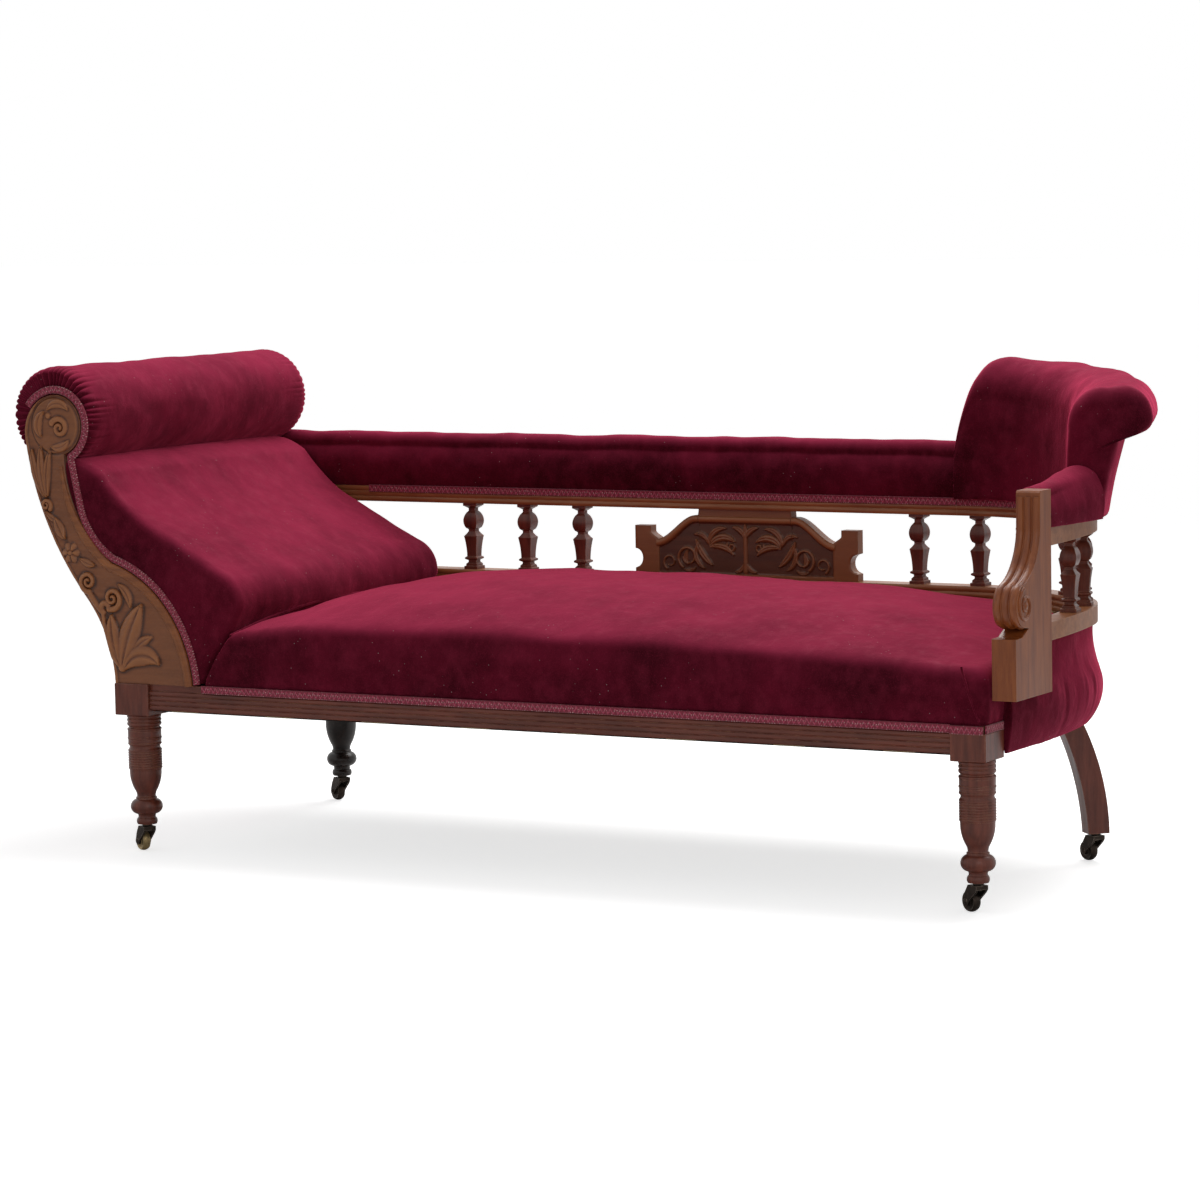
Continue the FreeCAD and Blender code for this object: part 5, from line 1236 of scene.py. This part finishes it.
@dataclass(frozen=True)
class Stroke:
    """One carved stroke: a line on the board, its half width, its height and how its ends taper."""

    line: Points
    width: float
    height: float
    kind: Motif = Motif.CORD
    taper: float = 0.35

    def raised(self, places: Points) -> Points:
        """Gives the stroke's height at places on the board.

        The height falls from the line as a half round; a leaf has a vein down its middle and tapers to
        both ends, and a groove is a cut.

        Args:
            places: rows of two numbers.

        Returns:
            One height for each place.
        """
        line = resample(self.line, 90)
        result = np.zeros(len(places))
        reach = self.width * 1.25
        low, high = line.min(0) - reach, line.max(0) + reach
        near = np.flatnonzero(((places > low) & (places < high)).all(1))
        if not len(near):
            return result
        gaps = np.linalg.norm(places[near, None] - line[None], axis=2)
        which = gaps.argmin(1)
        share = which / (len(line) - 1)
        if self.kind is Motif.LEAF:
            thin = np.sin(math.pi * np.clip(share * 0.94 + 0.03, 0, 1)) ** 0.7
        else:
            thin = 1 - self.taper * share
        distance = gaps[np.arange(len(near)), which] / np.maximum(self.width * thin, 0.2)
        round_top = half_round(distance)
        if self.kind is Motif.LEAF:
            round_top *= 0.62 + 0.38 * smooth_step(distance, 0.0, 0.35)
        result[near] = self.height * round_top * (-1 if self.kind is Motif.GROOVE else 1)
        return result


def spiral(centre: tuple[float, float], radius: float, start: float, turns: float,
           core: float = 2.5) -> Points:
    """Gives a volute's line: the radius falls steadily to a core as the angle turns.

    Args:
        centre: its middle.
        radius: its outer radius.
        start: the angle in degrees where it begins.
        turns: how many turns it makes, negative for clockwise.
        core: its radius at the eye.

    Returns:
        Its points, from the outside in.
    """
    share = np.linspace(0, 1, 90)
    angle = math.radians(start) + math.tau * turns * share
    reach = radius + (core - radius) * share ** 0.8
    return np.array(centre) + reach[:, None] * np.stack([np.cos(angle), np.sin(angle)], -1)


def bowed(*points: tuple) -> Points:
    """Gives a smooth line from its outline, as traced and rounded give it."""
    return rounded(resample(traced(points), 24), 2, closed=False)


def softened(field: Points, passes: int) -> Points:
    """Blurs a field of heights by that many passes over each place and its four neighbours."""
    for _ in range(passes):
        rows = np.roll(field, 1, 0) + np.roll(field, -1, 0)
        field = (field + rows + np.roll(field, 1, 1) + np.roll(field, -1, 1)) / 5
    return field


def dome(places: Points, centre: tuple[float, float], radius: float, height: float,
         petals: int = 0) -> Points:
    """Gives a bead's height, or a rosette's: a dome whose rim and depth follow a cosine of its petals."""
    arm = places - np.array(centre)
    reach = np.linalg.norm(arm, axis=1) / radius
    if not petals:
        return height * half_round(reach)
    angle = np.arctan2(arm[:, 1], arm[:, 0])
    lobe = np.abs(np.cos(petals / 2 * angle))
    rim = 0.72 + 0.28 * lobe
    body = half_round(reach / rim) * (0.45 + 0.55 * lobe)
    eye = half_round(reach / 0.28) * 1.1
    return height * np.maximum(body * smooth_step(reach, 0.1, 0.35), eye)


@dataclass(frozen=True)
class Facing:
    """The head's carved facing and its moulding."""

    ground: float = -352.0
    board_back: float = -334.2
    outer: tuple = ((-735, 279), (-748, 347, "arc"), (-790, 420), (-865, 545, "arc"), (-900, 673),
                    (-884, 726, "arc"), (-840, 746))
    inner: tuple = ((-584, 279), (-602.5, 354, "arc"), (-650, 424), (-691.5, 455, "arc"), (-735, 474),
                    (-795, 540, "arc"), (-824, 649), (-790, 696, "arc"), (-840, 746))
    boss: tuple[float, float] = BOSS
    grid: tuple[int, int] = (430, 118)
    boldness: float = 1.35
    depth: float = 1.3
    side_tone: float = 0.42

    def strokes(self) -> list[Stroke]:
        """Gives the facing's strokes, from the leaf at the foot up to the scrolls on the boss."""
        leaf, cord = Motif.LEAF, Motif.CORD
        return [
            Stroke(bowed((-722, 306), (-735, 345, "arc"), (-737, 388)), 12, 5.2, leaf),
            Stroke(bowed((-718, 306), (-706, 352, "arc"), (-679, 406)), 15, 5.4, leaf),
            Stroke(bowed((-712, 304), (-676, 326, "arc"), (-648, 314)), 13, 5.2, leaf),
            Stroke(bowed((-700, 322), (-682, 345, "arc"), (-660, 356)), 7, 3.4, leaf),
            Stroke(bowed((-724, 318), (-745, 352, "arc"), (-754, 394)), 4.2, 4.2, cord),
            Stroke(bowed((-754, 394), (-768, 408, "arc"), (-781, 426)), 4.5, 4.4, cord, 0.1),
            Stroke(spiral((-782, 443), 17, -90, -1.6), 4.0, 4.6, cord, 0.5),
            Stroke(bowed((-754, 394), (-752, 408, "arc"), (-742, 399)), 4.5, 4.4, cord, 0.1),
            Stroke(spiral((-735, 417), 19, -110, 1.6), 4.2, 4.8, cord, 0.5),
            Stroke(bowed((-700, 404), (-706, 424, "arc"), (-722, 440)), 6, 3.8, leaf),
            Stroke(bowed((-768, 470), (-780, 472, "arc"), (-796, 480)), 5, 3.6, leaf),
            Stroke(bowed((-826, 512), (-833, 522, "arc"), (-843, 545)), 7.5, 4.6, leaf),
            Stroke(spiral((-861, 566), 10, -40, 1.3), 3.2, 4.0, cord, 0.4),
            Stroke(bowed((-838, 540), (-852, 546, "arc"), (-862, 556)), 4, 3.4, leaf),
            Stroke(bowed((-857, 582), (-858, 622, "arc"), (-850, 656)), 6, 4.2, leaf),
            Stroke(bowed((-860, 580), (-869, 622, "arc"), (-868, 662)), 6.5, 4.8, leaf),
            Stroke(bowed((-864, 580), (-881, 618, "arc"), (-886, 656)), 6, 4.2, leaf),
            Stroke(spiral((-829, 692), 17, 150, -1.5), 4.4, 4.6, cord, 0.5),
            Stroke(bowed((-866, 678), (-872, 700, "arc"), (-860, 718)), 6.5, 4.4, leaf),
            Stroke(bowed((-846, 662), (-832, 660, "arc"), (-812, 672)), 5.5, 3.8, leaf),
            Stroke(bowed((-852, 722), (-836, 732, "arc"), (-812, 722)), 5.5, 3.8, leaf),
            Stroke(bowed((-731, 286), (-660, 285.5, "arc"), (-600, 286)), 1.6, 1.6, Motif.GROOVE, 0.0),
            Stroke(bowed((-732, 293), (-660, 292.5, "arc"), (-602, 293)), 1.6, 1.6, Motif.GROOVE, 0.0),
        ]

    def board(self) -> None:
        """Builds the facing: rungs between its two edges, raised by the carving, with a plain back.

        The board's height is the highest stroke or rosette at each place; grooves cut below the ground, a
        bead follows the outer edge, and the boss stands proud inside a turned groove.
        """
        rows, columns = self.grid
        outer = resample(traced(self.outer), rows)
        inner = resample(traced(self.inner), rows)
        share = np.linspace(0, 1, columns)[None, :, None]
        board = outer[:, None] + (inner - outer)[:, None] * share
        flat = board.reshape(-1, 2)
        height = np.zeros(len(flat))
        for stroke in self.strokes():
            if stroke.kind is Motif.GROOVE:
                height = height + stroke.raised(flat)
            else:
                bold = replace(stroke, width=stroke.width * self.boldness)
                height = np.maximum(height, bold.raised(flat))
        height = np.maximum(height, dome(flat, (-815, 489), 18, 4.8, 6))
        height = np.maximum(height, dome(flat, (-851, 712), 5, 4.0))
        height = np.maximum(height, dome(flat, (-719, 305), 8, 5.0)) * self.depth
        wide = np.linalg.norm(inner - outer, axis=1)
        from_outer = (wide[:, None] * share[..., 0]).ravel()
        from_inner = (wide[:, None] * (1 - share[..., 0])).ravel()
        bead = 2.4 * half_round((from_outer - 3.2) / 2.8)
        to_boss = np.linalg.norm(flat - np.array(self.boss), axis=1)
        disc = 2.2 * smooth_step(-to_boss, -46, -43) - 1.3 * np.exp(-((to_boss - 47) / 1.5) ** 2)
        height = np.where(to_boss < 49, height * 0.8 + disc, np.maximum(height, bead))
        edge = np.minimum(from_outer, from_inner)
        height -= 1.2 * (1 - smooth_step(edge, 0, 1.4))
        tooled = 0.16 * wander(np.column_stack([flat, flat[:, :1] * 0]), 7, 91)
        front = stood(flat, self.ground - height - tooled)
        grid = np.arange(rows * columns).reshape(rows, columns)
        quads = np.stack([grid[:-1, :-1], grid[:-1, 1:], grid[1:, 1:], grid[1:, :-1]], -1).reshape(-1, 4)
        rim = np.concatenate([grid[:, 0], grid[-1, 1:-1], grid[::-1, -1], grid[0, -2:0:-1]])
        back = stood(flat[rim], self.board_back)
        after = np.roll(rim, -1)
        behind = np.zeros(grid.size, int)
        behind[rim] = len(front) + np.arange(len(rim))
        sides = np.stack([rim, after, behind[after], behind[rim]], -1).tolist()
        left, right = behind[grid[1:-1, 0]], behind[grid[1:-1, -1]]
        rungs = np.stack([left[:-1], right[:-1], right[1:], left[1:]], -1).tolist()
        foot = np.concatenate([behind[grid[0]], [right[0], left[0]]]).tolist()
        head = np.concatenate([[left[-1], right[-1]], behind[grid[-1, ::-1]]]).tolist()
        # Painted shade and highlight: where the carving dips below a blurred copy of its heights the tone
        # falls, darkening it, and where it stands above it the tone rises, paling it; raised carving is
        # paler too, partly as wear from rubbing.
        field = height.reshape(rows, columns)
        raised = 0.22 * np.clip(field / 6.0, 0, 1)
        tone = self.side_tone + raised + 0.30 * (field - softened(field, 14))
        relief = np.concatenate([np.clip(tone, 0, 1).ravel(), np.full(len(rim), self.side_tone)])
        shell = Shell("carved_facing")
        faces = quads.tolist() + sides + rungs + [foot, head]
        shell.add(np.concatenate([front, back]), faces, relief=relief)
        shell.build(Finish.CARVED.material(), "show_wood", ["head_facing"], sharp=60, weld=0.01)

    def moulding(self) -> None:
        """Builds the pale rounded moulding along the facing's inner edge."""
        line = resample(traced(self.inner[:7]), 200)[:-8]
        side = normals_toward(line, (-1, 0))
        path = stood(line + side * 7.2, self.ground - 0.2)
        share = np.linspace(0, 1, len(path))
        radius = 7.4 * (1 - 0.55 * smooth_step(share, 0.75, 1.0))
        shell = Shell("facing_moulding")
        shell.tube(path, radius, 16, 0.72, upward=(0.0, 1.0, 0.0))
        shell.build(Finish.HONEY.material(), "show_wood")

    def build(self) -> None:
        """Builds the facing and its moulding."""
        self.board()
        self.moulding()


@dataclass(frozen=True)
class Panel:
    """The back's carved panel. Places across it are from its middle; its heights are above the floor.

    The moulding is how far it hangs under the arch, its half width and its rise; the notch in each ear's
    outer side is its height, its radius and its depth.
    """

    middle: float = 86.75
    face: float = 294.0
    thick: float = 19.8
    base: float = 414.0
    half: float = 166.0
    arch_foot: float = 475.0
    arch_rise: float = 42.0
    arch_ends: tuple[float, float] = (92.0, 168.0)
    neck_half: float = 86.0
    neck_top: float = 527.5
    moulding: tuple[float, float, float] = (6.0, 5.0, 3.0)
    sunk: float = 3.4
    ear_top: float = 498.0
    ear_inner: float = 162.0
    ear_flare: float = 15.0
    ear_outer: float = 207.0
    ear_proud: float = 0.6
    notch: tuple[float, float, float] = (443.0, 16.0, 14.0)
    grid: tuple[int, int] = (90, 340)

    def strokes(self) -> list[Stroke]:
        """Gives the panel's strokes: a flared stem, and each side a bloom, leaves and two scrolls."""
        leaf, cord = Motif.LEAF, Motif.CORD
        half = [
            Stroke(spiral((108, 447), 20, -60, 1.15, 9.0), 2.8, 4.0, cord, 0.4),
            Stroke(spiral((142, 438), 13, -60, 1.0, 6.0), 2.4, 3.4, cord, 0.4),
            Stroke(bowed((108, 434), (112, 444, "arc"), (108, 458)), 5.0, 3.8, leaf),
            Stroke(bowed((116, 426), (106, 424, "arc"), (94, 429)), 3.6, 3.0, leaf),
            Stroke(bowed((66, 464), (46, 466, "arc"), (22, 452)), 5.5, 4.6, leaf),
            Stroke(bowed((66, 466), (48, 480, "arc"), (20, 474)), 6.5, 5.0, leaf),
            Stroke(bowed((68, 468), (60, 488, "arc"), (36, 496)), 5.5, 4.2, leaf),
            Stroke(bowed((70, 470), (80, 484, "arc"), (96, 484)), 4.6, 3.8, leaf),
            Stroke(spiral((26, 465), 9, 30, -1.1, 3.0), 2.4, 3.8, cord, 0.3),
            Stroke(bowed((92, 476), (80, 452, "arc"), (62, 434)), 6.0, 4.6, leaf),
            Stroke(bowed((90, 468), (92, 446, "arc"), (76, 428)), 5.0, 4.0, leaf),
            Stroke(bowed((2, 440), (6, 430, "arc"), (20, 424)), 4.0, 3.6, leaf),
            Stroke(bowed((1, 480), (8, 492, "arc"), (24, 498)), 5.0, 4.2, leaf),
        ]
        mirrored = [replace(stroke, line=stroke.line * np.array([-1, 1])) for stroke in half]
        middle = [Stroke(bowed((0, 424), (0.2, 455, "arc"), (0, 486)), 4.6, 4.4, cord, 0.1),
                  Stroke(bowed((0, 478), (0.2, 490, "arc"), (0, 504)), 4.6, 4.6, leaf)]
        return half + mirrored + middle

    def build(self) -> None:
        """Builds the panel: a sunk, carved ground under an arched moulding, between notched ears.

        The arch is a smooth step down from the neck; the moulding is a half round just under it. Each ear
        is a board whose outer side has a round notch, and it stands a little proud.
        """
        shell = Shell("carved_panel")
        rows, columns = self.grid
        x = np.linspace(-self.half, self.half, columns)[None]
        line = self.arch_foot + self.arch_rise * (1 - smooth_step(np.abs(x), *self.arch_ends))
        top = np.where(np.abs(x) < self.neck_half, self.neck_top, line)
        z = self.base + np.linspace(0, 1, rows)[:, None] * (top - self.base)
        across = np.broadcast_to(x, z.shape)
        flat = np.column_stack([across.ravel(), z.ravel()])
        carved = np.zeros(len(flat))
        for stroke in self.strokes():
            carved = np.maximum(carved, stroke.raised(flat))
        carved = carved.reshape(z.shape)
        under = (line - z) / np.hypot(1.0, np.gradient(line[0], x[0]))
        ground = smooth_step(under, 11.0, 13.0) * smooth_step(-np.abs(x), -164, -160)
        ground = ground * smooth_step(z, 419, 421)
        drop, reach, rise = self.moulding
        bead = rise * half_round((under - drop) / reach)
        height = bead + (carved - self.sunk) * ground
        # Painted shade and highlight: the sunk ground gets a low tone, which darkens it, while the bead and
        # the raised carving get a higher one, partly as wear from rubbing.
        rubbed_and_highlit = 0.38 * ground * np.clip(carved / 4.0, 0, 1)
        tone = np.clip(0.50 + 0.10 * bead - 0.36 * ground + rubbed_and_highlit, 0, 1)
        self.board(shell, across, z, height, tone)
        z = np.linspace(self.base, self.ear_top, 64)[:, None]
        near = self.ear_inner + self.ear_flare * smooth_step(z, 474, 488)
        level, radius, depth = self.notch
        far = self.ear_outer - depth * half_round((z - level) / radius)
        share = np.linspace(0, 1, 14)[None]
        rim = self.ear_proud - 2 * self.ear_proud * (np.abs(share - 0.5) > 0.49) + 0 * z
        for side in (-1, 1):
            wide = side * (near + share * (far - near))
            self.board(shell, wide, np.broadcast_to(z, wide.shape), rim, np.full(wide.shape, 0.52))
        shell.build(Finish.CARVED.material(), "show_wood", ["back_panel"], sharp=50)

    def board(self, shell: Shell, across: Points, z: Points, height: Points, tone: Points) -> None:
        """Adds one board of the panel: a worked front, a plain back and strips between them.

        Args:
            shell: the panel.
            across: each place's distance along the panel, in rows.
            z: each place's height above the floor.
            height: how far the front stands out there.
            tone: the carved wood's tone there, from 0 in a hollow, which gets a painted shade, to 1 on a
                top, paler from rubbing and a painted highlight.
        """
        front = np.stack([across + self.middle, self.face - height, z], -1)
        back = np.stack([across + self.middle, np.full(z.shape, self.face + self.thick), z], -1)
        shell.loft(np.concatenate([front, back[:, ::-1]], axis=1), rungs=True)
        shell.relief[-1] = np.concatenate([tone, tone * 0 + 0.45], axis=1).ravel()


@dataclass(frozen=True)
class ArmPost:
    """The arm post's reeds and scroll eyes; places on its sides are given as Y and Z."""

    edge: tuple = ((-244, 606), (-245, 555), (-260, 517, "arc"), (-315, 481), (-333, 452, "arc"),
                   (-301, 421))
    reeds: tuple[float, ...] = (813.6, 826.0, 838.4)
    reed_radius: float = 6.0
    sunk: float = 2.4
    sides: tuple[float, float] = (807.0, 845.0)
    eye: tuple[float, float] = (-301.0, 452.0)

    def build(self) -> None:
        """Builds the arm post's three reeds, which end in its scroll, and the eyes on its two sides."""
        line = rounded(resample(traced(self.edge), 120), 2, closed=False)
        line = resample(line, 150)
        out = normals_toward(line, (-1, 0))
        shell = Shell("post_reeds")
        for x in self.reeds:
            path = np.column_stack([np.full(len(line), x), line - out * self.sunk])
            shell.tube(path, self.reed_radius, 14, upward=(1.0, 0.0, 0.0))
        for x in self.sides:
            eye = spiral(self.eye, 27, 100, 1.7, 5.0)
            path = np.column_stack([np.full(len(eye), x), eye])
            shell.tube(path, np.linspace(3.2, 2.0, len(eye)), 10, upward=(1.0, 0.0, 0.0))
            button = resample(np.array([[x - 3.2, *self.eye], [x + 3.2, *self.eye]], float), 7)
            size = 6.5 * np.sqrt(np.clip(1 - np.linspace(-0.98, 0.98, 7) ** 2, 0.02, 1))
            shell.tube(button, size, 20)
        shell.build(Finish.POST.material(), "show_wood", sharp=60)


@dataclass(frozen=True)
class Frame:
    """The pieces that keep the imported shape: each gets its finish by its place on the couch."""

    uprights: tuple[str, ...] = ("leg", "block", "baluster", "post", "upright")
    timber: tuple[str, ...] = ("rail_posts", "back_inner_rail", "head_cross_rails",
                               "head_top_rail", "back_seat_rail", "right_end_rail")

    def finish(self, name: str) -> Finish:
        """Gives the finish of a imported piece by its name."""
        if name.startswith("castor"):
            return Finish.BRASS if name == "castor_wheel_front_left" else Finish.IRON
        if name in self.timber:
            return Finish.TIMBER
        # the back left leg gets the near-black copy of the mahogany, a painted shade for the shadow it
        # stands in
        if name == "back_left_leg":
            return Finish.SHADOW_LEG
        if "webbing" in name:
            return Finish.WEBBING
        if name == "spring_canvas":
            return Finish.CANVAS
        if name == "seat_springs":
            return Finish.STEEL
        if name == "arm_post":
            return Finish.POST
        if name == "wing_core":
            return Finish.VELVET
        if name in ("back_upper_rail", "back_lower_rail", "end_upper_rail", "end_lower_rail"):
            return Finish.RAIL
        if any(word in name for word in self.uprights):
            return Finish.UPRIGHT
        return Finish.MAHOGANY

    def build(self, nodes: dict[str, Any]) -> None:
        """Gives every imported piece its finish.

        Args:
            nodes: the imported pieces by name.
        """
        for name, piece in nodes.items():
            material = self.finish(name).material()
            for place in piece.material_slots:
                place.material = material
        LOG.info("%d packed pieces finished", len(nodes))


@dataclass(frozen=True)
class Studio:
    """The pale floor, the soft light and the camera."""

    turn: float = 29.04
    tilt: float = 5.80
    roll: float = -1.08
    place: Colour = (3.23609, -5.87733, 1.08561)
    lens: float = 125.62
    sensor: float = 36.0
    world: float = 0.36
    mirrored: float = 0.6
    floor_glow: float = 0.66
    floor_half: float = 40.0
    target: Colour = (0.0, 0.0, 0.4)

    def floor(self) -> None:
        """Builds the floor: a broad pale sheet that the camera sees a little brighter than it is lit."""
        material, graph, shader, place = started("studio_floor")
        tone = graph.mix(graph.noise(place, 3.0), (0.84, 0.84, 0.84), (0.87, 0.87, 0.87))
        graph.link(tone, shader.inputs["Base Color"])
        shader.inputs["Roughness"].default_value = 0.9
        path = graph.node("LightPath")
        shader.inputs["Emission Color"].default_value = (1.0, 1.0, 1.0, 1.0)
        glow = graph.times(path.outputs["Is Camera Ray"], self.floor_glow)
        graph.link(glow, shader.inputs["Emission Strength"])
        mesh = bpy.data.meshes.new("floor")
        half = self.floor_half
        mesh.from_pydata([(-half, -half, 0), (half, -half, 0), (half, half, 0), (-half, half, 0)], [],
                         [(0, 1, 2, 3)])
        mesh.materials.append(material)
        floor = bpy.data.objects.new("floor", mesh)
        bpy.context.collection.objects.link(floor)

    def sky(self) -> None:
        """Lights the room evenly; the camera and reflections see white."""
        world = bpy.data.worlds.new("studio")
        bpy.context.scene.world = world
        world.use_nodes = True
        graph = Graph(world.node_tree)
        ground = world.node_tree.nodes["Background"]
        path = graph.node("LightPath")
        seen = graph.math("MAXIMUM", path.outputs["Is Camera Ray"],
                          graph.times(path.outputs["Is Glossy Ray"], self.mirrored))
        seen = graph.math("MAXIMUM", seen, path.outputs["Is Transmission Ray"])
        ground.inputs["Color"].default_value = (1.0, 1.0, 1.0, 1.0)
        graph.link(graph.ramp(seen, 0.0, 1.0, self.world, 1.0), ground.inputs["Strength"])

    def lamp(self, name: str, place: Colour, size: float, power: float) -> None:
        """Hangs one square soft lamp that points at the couch's middle."""
        light = bpy.data.lights.new(name, "AREA")
        light.shape = "SQUARE"
        light.size = size
        light.energy = power
        lamp = bpy.data.objects.new(name, light)
        bpy.context.collection.objects.link(lamp)
        lamp.location = place
        way = Vector(self.target) - Vector(place)
        lamp.rotation_euler = way.to_track_quat("-Z", "Y").to_euler()

    def camera(self) -> None:
        """Sets the camera from its turn, tilt and roll."""
        turn, tilt, roll = (math.radians(value) for value in (self.turn, self.tilt, self.roll))
        level = math.cos(tilt)
        ahead = Vector((-math.sin(turn) * level, math.cos(turn) * level, -math.sin(tilt)))
        right = Vector((math.cos(turn), math.sin(turn), 0.0))
        upward = right.cross(ahead)
        across = math.cos(roll) * right + math.sin(roll) * upward
        over = -math.sin(roll) * right + math.cos(roll) * upward
        data = bpy.data.cameras.new("camera")
        data.lens = self.lens
        data.sensor_width = self.sensor
        camera = bpy.data.objects.new("camera", data)
        bpy.context.collection.objects.link(camera)
        matrix = Matrix((across, over, -ahead)).transposed().to_4x4()
        matrix.translation = Vector(self.place)
        camera.matrix_world = matrix
        bpy.context.scene.camera = camera

    def build(self) -> None:
        """Builds the studio."""
        bpy.context.scene.view_settings.view_transform = "Standard"
        self.floor()
        self.sky()
        self.lamp("overhead", place=(0.2, 1.0, 2.5), size=2.4, power=64.0)
        self.lamp("fill", place=(2.4, -3.2, 1.7), size=1.8, power=8.0)
        self.camera()


def corners(box: tuple[Any, Any]) -> list[list[float]]:
    """Gives a box's two corners as plain lists."""
    return [[float(value) for value in corner] for corner in box]


def main() -> None:
    """Builds the couch's looks in order."""
    logging.basicConfig(level=logging.INFO, format="%(name)s: %(message)s")
    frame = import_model()
    Frame().build(frame["nodes"])
    Seat().build()
    Head().build()
    Back().build()
    Trim().build()
    Underside().build()
    Facing().build()
    Panel().build()
    ArmPost().build()
    Studio().build()


if __name__ == "__main__":
    main()
